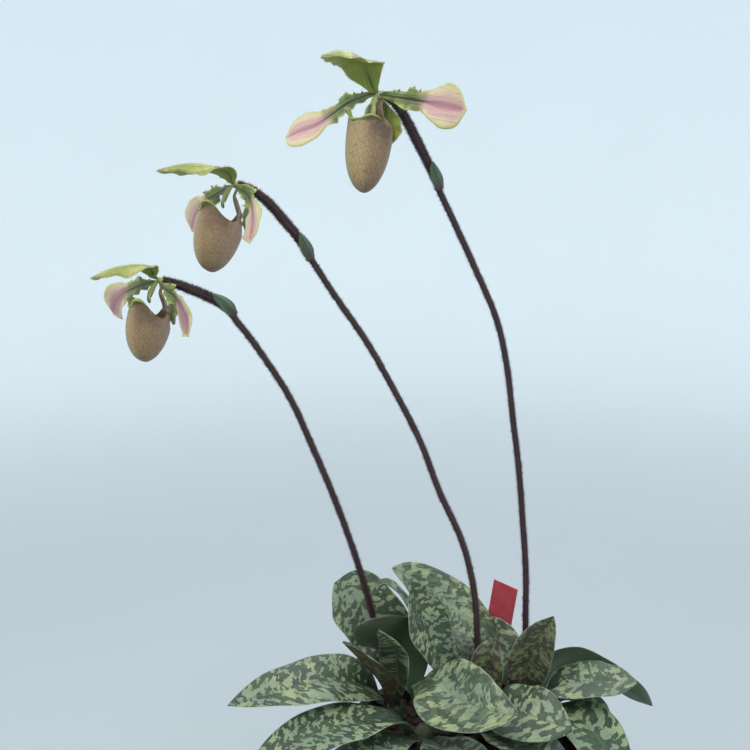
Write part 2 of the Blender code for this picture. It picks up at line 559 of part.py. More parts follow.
def add_bark(material):
    """The bark mix: a plug with chips joined onto its top, and a hole for each thing that stands in it."""
    low, high = POT_FLOOR + BARK_GAP, BARK_TOP
    sides = POT_SIDES
    points, faces = [], []
    for z in (low, high):
        radius = inner_radius(z) - BARK_GAP
        points += [(radius * math.cos(a), radius * math.sin(a), z) for a in np.arange(sides) * 2 * math.pi / sides]
    faces = [tuple(reversed(range(sides))), tuple(range(sides, 2 * sides))]
    faces += [(k, (k + 1) % sides, sides + (k + 1) % sides, sides + k) for k in range(sides)]
    bark = mesh_object("bark_mix", points, faces, material)
    chips = add_chips(material)
    join = bark.modifiers.new("chips", "BOOLEAN")
    join.operation = "UNION"
    join.solver = "MANIFOLD"
    join.object = chips
    chips.hide_render = True
    chips.display_type = "WIRE"
    foot = BARK_TOP - HOLE_DEPTH
    holes = [((x, y, foot), CROWN_RADIUS + HOLE_CLEARANCE, CROWN_RADIUS * 0.85 + HOLE_CLEARANCE, 12, 0)
             for x, y in CROWNS.values()]
    holes += [((route[0][0], route[0][1], foot), SCAPE_RADIUS + HOLE_CLEARANCE, SCAPE_RADIUS + HOLE_CLEARANCE, 8, 0)
              for route in SCAPES.values()]
    holes.append(((LABEL_FOOT_PLACE[0], LABEL_FOOT_PLACE[1] + 1, foot - 0.5), LABEL_STAKE_WIDTH / 2 + HOLE_CLEARANCE,
                  LABEL_THICKNESS / 2 + 1.6, 4, math.radians(LABEL_TURN)))
    cut_with(bark, pillars("planting holes", holes, 40, material))
    return bark


def add_chips(material):
    """Rough chips of bark on a jittered grid, kept apart from each other and clear of the pot."""
    dice = random.Random(CHIP_SEED)
    points, faces = [], []
    reach = inner_radius(BARK_TOP) - BARK_GAP - 7.5
    count = int(reach // CHIP_SPACING) + 1
    for i in range(-count, count + 1):
        for j in range(-count, count + 1):
            x = (i + 0.5 * (j % 2)) * CHIP_SPACING + dice.uniform(-0.8, 0.8)
            y = j * CHIP_SPACING * 0.87 + dice.uniform(-0.8, 0.8)
            turn, tilt = dice.uniform(0, math.pi), dice.uniform(-0.25, 0.25)
            long, wide, tall = dice.uniform(4.2, 5.2), dice.uniform(2.8, 3.6), dice.uniform(2.2, 4.6)
            if math.hypot(x, y) > reach:
                continue
            first = len(points)
            for sx, sy, sz in ((-1, -1, -1), (1, -1, -1), (1, 1, -1), (-1, 1, -1),
                               (-1, -1, 1), (1, -1, 1), (1, 1, 1), (-1, 1, 1)):
                shrink = (0.78 if sz > 0 else 1) * dice.uniform(0.85, 1)
                px, py = sx * long * shrink, sy * wide * shrink
                height = BARK_TOP - 2 if sz < 0 else BARK_TOP + tall + px * tilt + dice.uniform(-0.5, 0.5)
                points.append((x + px * math.cos(turn) - py * math.sin(turn),
                               y + px * math.sin(turn) + py * math.cos(turn), height))
            for a, b, c, d in ((3, 2, 1, 0), (4, 5, 6, 7), (0, 1, 5, 4), (1, 2, 6, 5), (2, 3, 7, 6), (3, 0, 4, 7)):
                faces += [(first + a, first + b, first + c), (first + a, first + c, first + d)]
    return mesh_object("chips", points, faces, material)


def add_label(material):
    """A blank plant label: a flat strip with a sloping top and a narrower stake that stands in the bark."""
    half, stake, thick = LABEL_WIDTH / 2, LABEL_STAKE_WIDTH / 2, LABEL_THICKNESS / 2
    outline_points = [(-stake, LABEL_FOOT + 6), (0, LABEL_FOOT), (stake, LABEL_FOOT + 6),
                      (stake, LABEL_SHOULDER - 8), (half, LABEL_SHOULDER), (half, LABEL_TOP[1]),
                      (-half, LABEL_TOP[0]), (-half, LABEL_SHOULDER), (-stake, LABEL_SHOULDER - 8)]
    turn = math.radians(LABEL_TURN)
    points = []
    for y in (-thick, thick):
        for along, z in outline_points:
            lean = (z - LABEL_FOOT) * LABEL_LEAN
            x = along + max(0, z - LABEL_NECK) * LABEL_SLANT
            points.append((LABEL_FOOT_PLACE[0] + x * math.cos(turn) - y * math.sin(turn),
                           LABEL_FOOT_PLACE[1] + lean + x * math.sin(turn) + y * math.cos(turn), z))
    n = len(outline_points)
    faces = [tuple(range(n)), tuple(reversed(range(n, 2 * n)))]
    faces += [((k + 1) % n, k, n + k, n + (k + 1) % n) for k in range(n)]
    return mesh_object("label", points, faces, material)


def main():
    clear_scene()
    leaf_green = finish("leaf", (0.13, 0.19, 0.09), 0.4)
    crown_green = finish("crown", (0.16, 0.2, 0.09), 0.5)
    materials = {
        "stalk": finish("stalk", (0.035, 0.014, 0.02), 0.6),
        "bract": finish("bract", (0.1, 0.15, 0.09), 0.5),
        "sepal": finish("sepal", (0.34, 0.4, 0.12), 0.5),
        "petal": finish("petal", (0.55, 0.38, 0.34), 0.5),
        "pouch": finish("pouch", (0.26, 0.18, 0.09), 0.35),
        "column": finish("column", (0.42, 0.42, 0.14), 0.4),
    }
    add_pot(finish("pot", (0.012, 0.012, 0.013), 0.45))
    add_bark(finish("bark", (0.09, 0.05, 0.03), 0.9))
    add_label(finish("label", (0.4, 0.04, 0.05), 0.5))
    for name, place in CROWNS.items():
        add_crown(name, place, crown_green)
    for name, row in LEAVES.items():
        add_leaf(name, row, leaf_green)
    for name, route in SCAPES.items():
        add_tube(name, route, 14, [SCAPE_RADIUS, SCAPE_RADIUS * 1.05, SCAPE_RADIUS, SCAPE_RADIUS], 8,
                 materials["stalk"])
    ends = dict(zip(FLOWERS, ("scape_right", "scape_middle", "scape_left")))
    for name, flower in FLOWERS.items():
        add_flower(name, flower, SCAPES[ends[name]][-1], materials)


main()
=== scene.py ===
"""The looks of a potted slipper orchid: mottled leaves, hairy stalks and three pouched flowers.

Lengths are in millimetres and angles in degrees; MM turns the finished meshes into metres. The
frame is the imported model's: the origin is the middle of the pot's underside, +X is to the right in
the photograph, +Y is away from the viewer and +Z is up.
"""
import math
import random

import bpy
import numpy as np
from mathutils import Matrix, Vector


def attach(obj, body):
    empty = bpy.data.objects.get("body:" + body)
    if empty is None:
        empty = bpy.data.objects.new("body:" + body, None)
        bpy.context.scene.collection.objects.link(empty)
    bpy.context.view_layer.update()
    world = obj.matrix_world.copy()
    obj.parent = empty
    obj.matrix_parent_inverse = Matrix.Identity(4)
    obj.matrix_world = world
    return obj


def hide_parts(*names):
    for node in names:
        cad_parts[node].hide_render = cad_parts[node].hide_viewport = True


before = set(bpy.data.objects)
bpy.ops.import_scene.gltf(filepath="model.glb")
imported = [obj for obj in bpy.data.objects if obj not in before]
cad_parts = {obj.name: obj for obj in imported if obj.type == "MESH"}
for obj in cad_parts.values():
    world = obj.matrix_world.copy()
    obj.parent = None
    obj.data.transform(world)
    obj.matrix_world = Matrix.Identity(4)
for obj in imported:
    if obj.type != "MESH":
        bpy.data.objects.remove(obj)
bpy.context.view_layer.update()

MM = 0.001
BODY = "root"

# Camera of the photograph
CAMERA_PLACE = (-48.7, -500.0, 390.0)
CAMERA_PITCH = 80.07
CAMERA_LENS = 48.0
CAMERA_SENSOR = 36.0

# Pot and bark
POT_HEIGHT = 107.0
POT_RIM_RADIUS = 66.0
POT_FOOT_RADIUS = 47.0
POT_WALL = 1.6
POT_FLOOR = 3.0
RIM_BAND_HEIGHT = 11.0
RIM_BAND_DEPTH = 2.4
POT_SLOPE = (POT_RIM_RADIUS - RIM_BAND_DEPTH - POT_FOOT_RADIUS) / POT_HEIGHT
POT_STEPS = 144
DRAIN_COUNT = 6
DRAIN_RADIUS = 4.0
DRAIN_CIRCLE = 33.0
BARK_TOP = 98.0
BARK_BOTTOM = 3.4
BARK_RADIUS = 59.5
BARK_FOOT_RADIUS = 44.5
CHIP_COUNT = 330
CHIP_HALF_SIZES = ((2.6, 5.4), (1.8, 3.4), (1.0, 2.0))
CROWN_RADIUS = 6.0
CROWN_FOOT = 82.0
CROWN_TOP = 110.0
CROWN_TAPER = [(0, 0.85), (0.6, 1.0), (0.86, 0.82), (0.96, 0.5), (1, 0.12)]
CROWNS = {
    "crown_left": (-37, 30),
    "crown_middle": (4, 20),
    "crown_right": (40, 30),
    "crown_front": (-22, 3),
}

# Leaves: midrib from base to tip and full width. heading is the way that a steep leaf runs, seen
# from above. roll lifts the edge on the right of that way and fold lifts both edges, each given
# for the base and the tip. base is the width there over the greatest, and where that is reached.
# tip is where the leaf starts to taper, and the roundness of its end.
LEAVES = {
    "leaf_left_long": dict(
        route=[(-47, 28, 108.5), (-54, 18, 123.5), (-73, 4, 133.5), (-96, -9, 136),
               (-125, -20, 132)],
        width=38, roll=(22, 14), fold=(50, 14), base=(0.33, 0.32), tip=(0.42, 2.0)),
    "leaf_front_left_arched": dict(
        route=[(-31, -3, 107), (-38, -9, 117), (-52, -17, 122), (-72, -28, 123), (-93, -38, 118),
               (-113, -48, 107)],
        width=36, roll=(0, 6), fold=(55, 12)),
    "leaf_front_left_low": dict(
        route=[(-28, -10, 106), (-37, -20, 111), (-50, -33, 113), (-67, -48, 111), (-82, -60, 104)],
        width=32),
    "leaf_front_low": dict(
        route=[(-19, -10, 106), (-13, -25, 111), (-5, -45, 113), (3, -64, 110)],
        width=34),
    "leaf_centre_front": dict(
        route=[(-25, 23, 111), (-21, 12, 130), (-14, -3, 137.5), (-8, -18, 136.5), (2, -30, 137),
               (12, -38, 138), (22, -45, 140)],
        width=42, roll=(-10, -34), fold=(45, 12), base=(0.2, 0.62), tip=(0.5, 2.2)),
    "leaf_right_front": dict(
        route=[(10.5, 8, 108.5), (19, 0, 122), (28, -12, 124), (39, -20, 124), (52, -28, 123)],
        width=36, roll=(-10, -30), base=(0.3, 0.5)),
    "leaf_right_upper": dict(
        route=[(47, 23, 110), (54, 18, 123), (64, 12, 129), (76, 6, 132), (92, 0, 135)],
        width=34, roll=(0, -16), base=(0.5, 0.3)),
    "leaf_right_arched": dict(
        route=[(47, 34, 111), (55, 38, 124), (69, 40, 126.5), (88, 34, 119), (108, 24, 108.5)],
        width=35, roll=(50, 46), base=(0.4, 0.4)),
    "leaf_right_back_low": dict(
        route=[(51, 29, 106), (65, 31, 110), (76, 27, 104), (83, 17, 91)],
        width=28),
    "leaf_right_drooping": dict(
        route=[(45, 20, 107), (56, 0, 117), (66, -15, 114), (73, -29, 104), (79, -38, 91)],
        width=33, roll=(0, -5)),
    "leaf_front_shaded": dict(
        route=[(8, 10, 105), (21, -12, 111), (34, -30, 113), (47, -47, 111)],
        width=32),
    "leaf_young_right": dict(
        route=[(37, 22, 110), (36, 19, 134), (40, 15, 152), (48, 11, 168)],
        width=24, heading=80, fold=(60, 30), base=(0.34, 0.45), young=True),
    "leaf_young_middle": dict(
        route=[(8, 17, 112), (12, 12.5, 134.5), (13, 11, 146), (17, 10, 156)],
        width=20, heading=80, fold=(60, 30), young=True),
    "leaf_upright_middle": dict(
        route=[(-3.5, 26, 110), (-13, 29, 136), (-20, 30.5, 153), (-25.5, 31, 168.5),
               (-29, 29, 180.5)],
        width=37, heading=138, fold=(60, 25), base=(0.2, 0.7)),
    "leaf_back_tall": dict(
        route=[(2, 33, 110), (9, 38, 125), (14, 44, 139), (10, 49, 146), (0, 55, 153),
               (-13, 61, 161), (-26, 64, 169), (-39, 64, 175)],
        width=35, heading=145, roll=(0, 14), base=(0.2, 0.64), tip=(0.55, 3.0)),
    "leaf_back_far": dict(
        route=[(30.3, 39.3, 107), (28.7, 41.8, 121), (26.3, 45.2, 130.5), (20.9, 52.4, 135.6),
               (14.4, 59.5, 138.4), (7, 65.1, 140.8)],
        width=27, heading=150, roll=(48, 66), fold=(50, 8), base=(0.18, 0.6)),
    "leaf_back_left_round": dict(
        route=[(-34, 44, 112), (-43, 54, 135), (-53, 59, 149), (-63, 63, 158.5), (-73, 65, 165)],
        width=44, heading=120, fold=(50, 8), base=(0.2, 0.5), tip=(0.6, 4.0)),
    "leaf_curled_tip": dict(
        route=[(-5, 33, 110), (-13, 43, 133), (-28, 44, 158), (-37, 44, 171), (-44, 42, 174),
               (-48, 37, 170)],
        width=20, fold=(50, 10)),
    "leaf_hooded": dict(
        route=[(-27, 36, 110), (-28, 36, 130), (-36, 32, 146), (-47, 19, 156), (-57, 5, 166)],
        width=31, heading=215, roll=(-20, -60), fold=(30, 4), base=(0.3, 0.5), tip=(0.5, 3.0)),
    "leaf_striped_young": dict(
        route=[(-35.5, 20.5, 111), (-36, 15.5, 133), (-37, 11.5, 148), (-41, 6, 158),
               (-47, 2, 164)],
        width=20, heading=60, fold=(50, 40), base=(0.22, 0.5), striped=True),
    "leaf_left_pointed": dict(
        route=[(-40, 16, 112), (-46, 6.5, 132), (-55, 0, 146.5), (-65.5, -9, 162.5)],
        width=26, roll=(0, 10), fold=(50, 40), base=(0.22, 0.5), young=True),
    "leaf_back_low_left": dict(
        route=[(-25, 43, 105), (-36, 62, 112), (-48, 82, 110), (-53, 100, 97)],
        width=30),
    "leaf_back_low_middle": dict(
        route=[(13, 41, 107), (3.5, 58, 125), (-2, 78, 130), (-8, 98, 119)],
        width=34),
    "leaf_back_low_right": dict(
        route=[(43, 44.5, 107), (41, 60, 114), (47, 78, 113), (55, 95, 101)],
        width=30),
}
LEAF_ROLL = (0, 0)
LEAF_FOLD = (50, 12)
LEAF_BASE = (0.32, 0.45)
LEAF_TIP = (0.5, 2.3)
LEAF_THICKNESS = 1.15
LEAF_RIPPLE = 0.45
LEAF_ROWS = 72
LEAF_COLUMNS = 27
VEIN_GAP = 1.5

# Stalks, from the foot in the bark up to the bract
SCAPE_RADIUS = 1.5
SCAPE_RADII = [SCAPE_RADIUS, SCAPE_RADIUS * 1.05, SCAPE_RADIUS, SCAPE_RADIUS]
SCAPES = {
    "scape_right": [(37.5, 40.5, 83), (37.5, 40.5, 104), (37.8, 40.5, 125), (37.5, 40, 153),
                    (37, 41, 183), (34.5, 41, 212), (31.5, 40, 242), (27.5, 39, 270),
                    (23.5, 38, 299), (17, 36, 326), (5, 33, 353), (-8, 30, 380), (-15, 28, 394)],
    "scape_middle": [(8, 31, 83), (8, 31, 104), (9, 30, 125), (9, 30, 145), (7, 32, 173),
                     (0, 33, 202), (-13, 33, 231), (-24, 32, 260), (-38, 31, 288), (-53, 29, 315),
                     (-71, 26, 342), (-81, 24, 358)],
    "scape_left": [(-42, 37, 83), (-42, 37, 104), (-43.5, 39.5, 122), (-46.8, 41, 140.5),
                   (-52.5, 38.5, 166.5), (-61, 31, 199), (-71, 28, 229), (-82, 24, 258),
                   (-94, 20, 287), (-110, 16, 314), (-120, 14, 328)],
}

# Flowers. facing is how far the flower has turned from the viewer to the left. ovary runs from the
# stalk to the flower. dorsal_turn is how far the hooded sepal has turned at its base and its tip.
# A pouch's drop runs from rim to toe, ahead is how far its middle stands in front of the joint,
# and lean how far the toe leads the rim. ears is how high the rim's left and right ears rise.
FLOWERS = {
    "upper": dict(
        facing=41, size=1.0,
        ovary=[(-15.3, 27.9, 395), (-21, 27, 408), (-28, 23, 421), (-35, 17, 433), (-41, 10, 439),
               (-46, 5.5, 440.5)],
        dorsal=[(-49.3, 2.5, 442.8), (-51.2, 4.2, 448.8), (-53.6, 3.4, 454.4), (-56.8, -2, 457.6),
                (-61.6, -10, 458.6), (-67, -19, 457.6), (-72.7, -29, 454.2)],
        dorsal_width=23, dorsal_turn=(20, 45),
        petal_left=[(-51.5, 5, 440.6), (-61.2, 14, 437.6), (-68.9, 20, 433.3), (-77.9, 27, 427.9),
                    (-87.7, 34, 424.8), (-95.5, 40, 422.1)],
        left_face=((-0.6, -0.8, 0.2), (-0.5, -0.65, 0.5)),
        petal_right=[(-44, 0.5, 440.2), (-36.7, -5, 438.2), (-27.5, -14, 435.9),
                     (-18.6, -23, 433.3), (-12.2, -29, 431.4), (-7.1, -34, 430.1)],
        right_face=((-0.66, -0.75, 0.3), (-0.66, -0.75, 0.0)), petal_widths=(20.5, 20.5),
        pouch=dict(drop=33.7, half_width=10.5, half_depth=11.0, ahead=5.0, lean=5.6),
        ears=(4.6, 0.8)),
    "middle": dict(
        facing=75, size=0.92,
        ovary=[(-82.3, 23.9, 359), (-88, 23, 370), (-95, 21, 379), (-103, 18, 388.5),
               (-111, 14, 395), (-117.5, 8.5, 397.6)],
        dorsal=[(-119.6, 5.6, 398.8), (-120, 6, 401.8), (-122.4, 5, 404.6), (-129, 3, 406.3),
                (-136.8, 0, 407.4), (-146.1, -3, 406.3), (-154.7, -6, 403.8)],
        dorsal_width=22.5, dorsal_turn=(35, 78),
        petal_left=[(-122, 9.5, 396), (-129, 18, 393), (-137.5, 27, 388), (-143.1, 34, 381.7),
                    (-146.6, 40, 373.1)],
        left_face=((-0.8, -0.5, 0.2), (-0.65, -0.75, 0.1)),
        petal_right=[(-116.5, 2.2, 396), (-110.9, -6, 393.4), (-107.6, -14, 388.6),
                     (-106, -21, 381.6), (-106.1, -25, 376.1), (-107.3, -28, 369.7)],
        right_face=((-0.9, -0.3, 0.2), (-0.8, -0.6, 0.1)), petal_widths=(18, 19),
        pouch=dict(drop=30.0, half_width=10.5, half_depth=12.4, ahead=4.9, lean=6.9),
        ears=(2.2, 3.6)),
    "lower": dict(
        facing=65, size=0.88,
        ovary=[(-121.3, 13.9, 331), (-127, 13, 337), (-136, 12, 342), (-145, 10, 346),
               (-150.5, 8, 348.3), (-156, 5.5, 350)],
        dorsal=[(-160, 3.5, 352), (-160.2, 4.5, 354.5), (-161.9, 4, 357), (-167, 1, 358),
                (-174.3, -2, 357.5), (-181.2, -6, 355.6), (-188.1, -10, 351.9)],
        dorsal_width=21, dorsal_turn=(30, 70),
        petal_left=[(-162, 7.5, 348.5), (-170.9, 15.0, 345.8), (-179.3, 22.0, 341.9),
                    (-185.3, 28.0, 336.0), (-188.5, 32.0, 329.7)],
        left_face=((-0.7, -0.6, 0.4), (-0.45, -0.85, 0.2)),
        petal_right=[(-155.8, -0.5, 348.5), (-150.6, -8, 346.4), (-144.7, -16, 342.7),
                     (-140.2, -23, 337.2), (-137.5, -28, 331.5), (-137, -32, 326.3)],
        right_face=((-0.9, -0.4, 0.2), (-0.9, -0.45, 0.1)), petal_widths=(20.5, 17),
        pouch=dict(drop=27.5, half_width=9.8, half_depth=11.4, ahead=3.9, lean=4.5),
        ears=(2.6, 3.0)),
}
PETAL_THICKNESS = 0.8
PETAL_ROWS = 72
PETAL_COLUMNS = 25
PETAL_FOLD = 14.0
SEPAL_RIPPLE = 0.4
FRILL = 0.95
SYNSEPAL_WIDTH = 22.0
POUCH_WALL = 0.9
OVARY_RADII = [1.5, 2.1, 2.3, 2.3, 2.0, 1.7]
HEART_RADIUS = 2.0

# Shares of the way out from a flower's centre at which its blades are carried in, narrowing
RUN_IN = np.array([0.1, 0.4, 0.7])

# Hairs: their number on a piece or along an edge, length and half thickness
SCAPE_HAIRS = 9500
OVARY_HAIRS = 3400
STALK_HAIR = (1.5, 0.09)
BARE_FOOT = 0.12
SEPAL_DOWN = 2600
DOWN_HAIR = (0.7, 0.04)
SEPAL_EDGE_HAIRS = 260
PETAL_EDGE_HAIRS = 130
EDGE_HAIR = (0.9, 0.05)
BRACT_EDGE_HAIRS = 160
BRACT_HAIR = (0.8, 0.05)

# Warts along a petal's upper edge, each with a few bristles
WART_PLACES = (0.09, 0.16, 0.24, 0.33, 0.42)
WART_RADII = (0.32, 0.55)
BRISTLE_COUNT = 4
BRISTLE_LENGTHS = (1.2, 2.4)
BRISTLE_THICKNESS = 0.07

# Share of the greatest half width along each kind of blade
DORSAL_OUTLINE = [(0, 0.24), (0.12, 0.6), (0.22, 0.95), (0.38, 1.0), (0.62, 0.86), (0.85, 0.5),
                  (1, 0.06)]
PETAL_OUTLINE = [(0, 0.17), (0.15, 0.3), (0.3, 0.55), (0.47, 0.42), (0.62, 0.74), (0.8, 1.0),
                 (0.93, 0.66), (1, 0.1)]
SYNSEPAL_OUTLINE = [(0, 0.25), (0.2, 0.7), (0.5, 1.0), (0.75, 0.85), (1, 0.12)]

# How far a sepal's edges fold towards its inner side, at shares of its length
FOLD_PLACES = [0, 0.3, 0.5, 1]
DORSAL_FOLDS = [22, 14, 50, 50]
SYNSEPAL_FOLDS = [14, 15, 15, 12]
BRACT_OUTLINE = [(0, 0.5), (0.3, 1), (0.6, 0.9), (0.85, 0.5), (1, 0.1)]
SHIELD_OUTLINE = [(0, 0.4), (0.2, 0.75), (0.5, 1.0), (0.8, 0.86), (1, 0.3)]

# Pouch: height of the rim at angles from its front, and girth at shares of the way down to the toe
RIM_HEIGHTS = [(0, 0), (45, 0), (67.5, -0.6), (90, -4.4), (112.5, -5.6), (135, -1.6), (157.5, 3.6),
               (180, 7.2)]
RIM_TO_FLOWER = 12.6
POUCH_GIRTH = [(0, 0.94), (0.12, 0.97), (0.3, 1.0), (0.5, 0.95), (0.68, 0.82), (0.83, 0.62),
               (0.94, 0.36)]
POUCH_SIDES = 96
POUCH_ROWS = 44
POUCH_BACK = 0.85
LIP_ROWS = 7
LIP_TURN = 140.0
CLAW_TAPER = [(0, 0.4), (0.4, 0.36), (1, 0.16)]
CLAW_ROWS = 16
CLAW_COLUMNS = 9
CLAW_FOLD = -20.0

# Column and its shield: how far in front of the joint and how far below it they run
COLUMN_ROUTE = [(1.4, 0.6), (3.0, 2.6), (4.4, 5.0), (5.2, 7.4), (5.6, 9.4)]
COLUMN_RADII = [(0, 1.0), (0.3, 1.4), (0.6, 1.5), (1, 0.8)]
COLUMN_ROWS = 20
SHIELD_ROUTE = [(4.2, 3.6), (6.0, 5.4), (7.0, 8.2), (7.0, 11.0), (6.2, 12.8)]
SHIELD_HALF_WIDTH = 3.5
SHIELD_LENGTH = 10.0
SHIELD_FOLD = 18.0
SHIELD_THICKNESS = 0.9
SHIELD_ROWS = 30
SHIELD_COLUMNS = 19

# Bract: the sheath on an ovary's foot, and how far it stands off the ovary's middle
BRACT_LENGTH = 15.5
BRACT_WIDTH = 7.8
BRACT_SIDE = np.array([0.15, -0.75, 0.65])
BRACT_STAND = [(0, 2.9), (0.3, 3.9), (1, 4.1)]
BRACT_FOLD = 48.0
BRACT_ROWS = 40
BRACT_COLUMNS = 21

# Blank label: width, height above its shoulders, thickness, and the stake below
LABEL_FOOT_PLACE = (23, 52.2)
LABEL_LEAN = 0.125
LABEL_SLANT = 0.19
LABEL_NECK = 132.0
LABEL_WIDTH = 16.5
LABEL_THICKNESS = 0.8
LABEL_TURN = -38.0
LABEL_TOP = (168.5, 166.0)
LABEL_SHOULDER = 140.0
LABEL_STAKE_WIDTH = 9.0
LABEL_FOOT = 86.0
LABEL_ROUNDING = 0.28

# Stage: a floor that curves up into a wall
FLOOR_REACH = 1500.0
SWEEP_RADIUS = 900.0
WALL_TOP = 2600.0
FLOOR_STEPS = 96

UP = np.array([0, 0, 1.0])


# Curves and surfaces

def unit(vectors):
    """Vectors scaled to length one, row by row."""
    vectors = np.asarray(vectors, float)
    return vectors / np.maximum(np.linalg.norm(vectors, axis=-1, keepdims=True), 1e-9)


def smoothstep(x):
    x = np.clip(x, 0, 1)
    return x * x * (3 - 2 * x)


def gaps(route):
    """Distances from each point of a route to the next."""
    return np.linalg.norm(np.diff(route, axis=0), axis=1)


def distance_along(route):
    return np.concatenate([[0], np.cumsum(gaps(route))])


def at_shares(pairs, share):
    """Values on the straight lines through pairs of share and value."""
    return np.interp(share, *np.array(pairs, float).T)


def base_to_tip(pair, share):
    """A value that changes smoothly from the first of a pair to the second."""
    return pair[0] + (pair[1] - pair[0]) * smoothstep(share)


def round_angles(count):
    return np.arange(count) * math.tau / count


def dice_for(name):
    """Random numbers that are the same each time for a piece."""
    return np.random.default_rng(sum(map(ord, name)))


def smooth_route(points, count):
    """Count points, evenly spaced along a smooth curve through the given ones."""
    points = np.asarray(points, float)
    ends = np.vstack([2 * points[0] - points[1], points, 2 * points[-1] - points[-2]])
    dense = []
    for i in range(1, len(ends) - 2):
        before, start, end, after = ends[i - 1:i + 3]
        for t in np.linspace(0, 1, 16, endpoint=False):
            dense.append(0.5 * (2 * start + (end - before) * t
                                + (2 * before - 5 * start + 4 * end - after) * t ** 2
                                + (3 * start - before - 3 * end + after) * t ** 3))
    dense = np.array(dense + [points[-1]])
    along = distance_along(dense)
    wanted = np.linspace(0, along[-1], count)
    return np.stack([np.interp(wanted, along, dense[:, k]) for k in range(3)], axis=1)


def outline(pairs, share):
    """A smooth curve through pairs of share of the length and share of the greatest half width."""
    places, values = np.array(pairs, float).T
    slopes = np.gradient(values, places)
    i = np.clip(np.searchsorted(places, share, side="right") - 1, 0, len(places) - 2)
    step = places[i + 1] - places[i]
    t = (share - places[i]) / step
    curve = (values[i] * (1 + 2 * t) * (1 - t) ** 2 + values[i + 1] * t * t * (3 - 2 * t)
             + step * t * (1 - t) * (slopes[i] * (1 - t) - slopes[i + 1] * t))
    return np.maximum(curve, 0.004)


def round_end(share, start):
    """Rounds off a blade that would end square."""
    return np.sqrt(np.maximum(1 - np.clip((share - start) / (1 - start), 0, 1) ** 2, 1e-4))


def leaf_outline(share, base, tip):
    """A leaf's half width over its greatest, from its clasping base to its pointed end."""
    from_base = base[0] + (1 - base[0]) * smoothstep(share / base[1])
    to_tip = 1 - np.clip((share - tip[0]) / (1 - tip[0]), 0, 1) ** tip[1]
    return from_base * np.maximum(to_tip, 0.002) ** 0.85


def spread_across(columns):
    """Places from one edge of a blade to the other, closer together near the edges."""
    even = np.linspace(-1, 1, columns)
    return even * (1.3 - 0.3 * even ** 2)


def blade_surface(route, half_width, side, roll, fold, across):
    """Rows of points across a blade. side points to its right; the other lists have a value a row."""
    tangent = unit(np.gradient(route, axis=0))
    side = unit(side - tangent * (tangent * side).sum(axis=1, keepdims=True))
    normal = np.cross(side, tangent)
    turn = np.radians(roll)[:, None]
    level, upright = side, normal
    side = level * np.cos(turn) + upright * np.sin(turn)
    normal = upright * np.cos(turn) - level * np.sin(turn)
    reach = np.abs(across)[None, :] * half_width[:, None]
    lift = np.radians(fold)[:, None] * (1 - 0.45 * np.abs(across))[None, :]
    out = np.sign(across)[None, :] * reach * np.cos(lift)
    up = reach * np.sin(lift)
    return (route[:, None, :] + side[:, None, :] * out[..., None]
            + normal[:, None, :] * up[..., None])


def surface_normals(surface):
    """The way that each point's upper side faces."""
    return unit(np.cross(np.gradient(surface, axis=1), np.gradient(surface, axis=0)))


def ripple(dice, share, across, swing, waves):
    """Heights of an edge that runs in gentle, uneven waves; the midrib stays where it is."""
    heights = np.zeros((len(share), len(across)))
    for side in (-1, 1):
        wave = sum(math.sqrt(1 / k) * np.sin(share * math.tau * waves * k * dice.uniform(0.8, 1.2)
                                             + dice.uniform(0, math.tau))
                   for k in (0.5, 1, 1.8))
        edge = np.clip(across * side, 0, 1) ** 2.5
        heights += wave[:, None] * edge[None, :]
    return heights * swing


def reach_in(surface, half_width, centre):
    """The blade's first row carried on, narrowing, towards the flower's centre."""
    first = centre + (surface[0] - centre) * RUN_IN[:, None, None]
    return np.concatenate([first, surface]), np.concatenate([half_width[0] * RUN_IN, half_width])


def ring_faces(rows, sides, first=0, flipped=False):
    """Faces between rings of points that follow one another, from the point numbered first."""
    faces = []
    for i in range(rows - 1):
        for j in range(sides):
            a = first + i * sides + j
            b = first + i * sides + (j + 1) % sides
            faces.append((a, b, b + sides, a + sides) if flipped else (a, a + sides, b + sides, b))
    return faces


def fan_faces(pole, first, sides, flipped=False):
    """Triangles between a pole and the ring that begins at the point numbered first."""
    pairs = [(first + k, first + (k + 1) % sides) for k in range(sides)]
    return [(pole, b, a) if flipped else (pole, a, b) for a, b in pairs]


class Skin:
    """Points and faces with what the materials read: a place in millimetres and a share of the piece."""

    def __init__(self, points, faces, place=None, share=None):
        self.points = np.asarray(points, float)
        self.faces = faces
        blank = np.zeros((len(self.points), 3))
        self.place = self.points if place is None else np.asarray(place, float)
        self.share = blank if share is None else np.asarray(share, float)


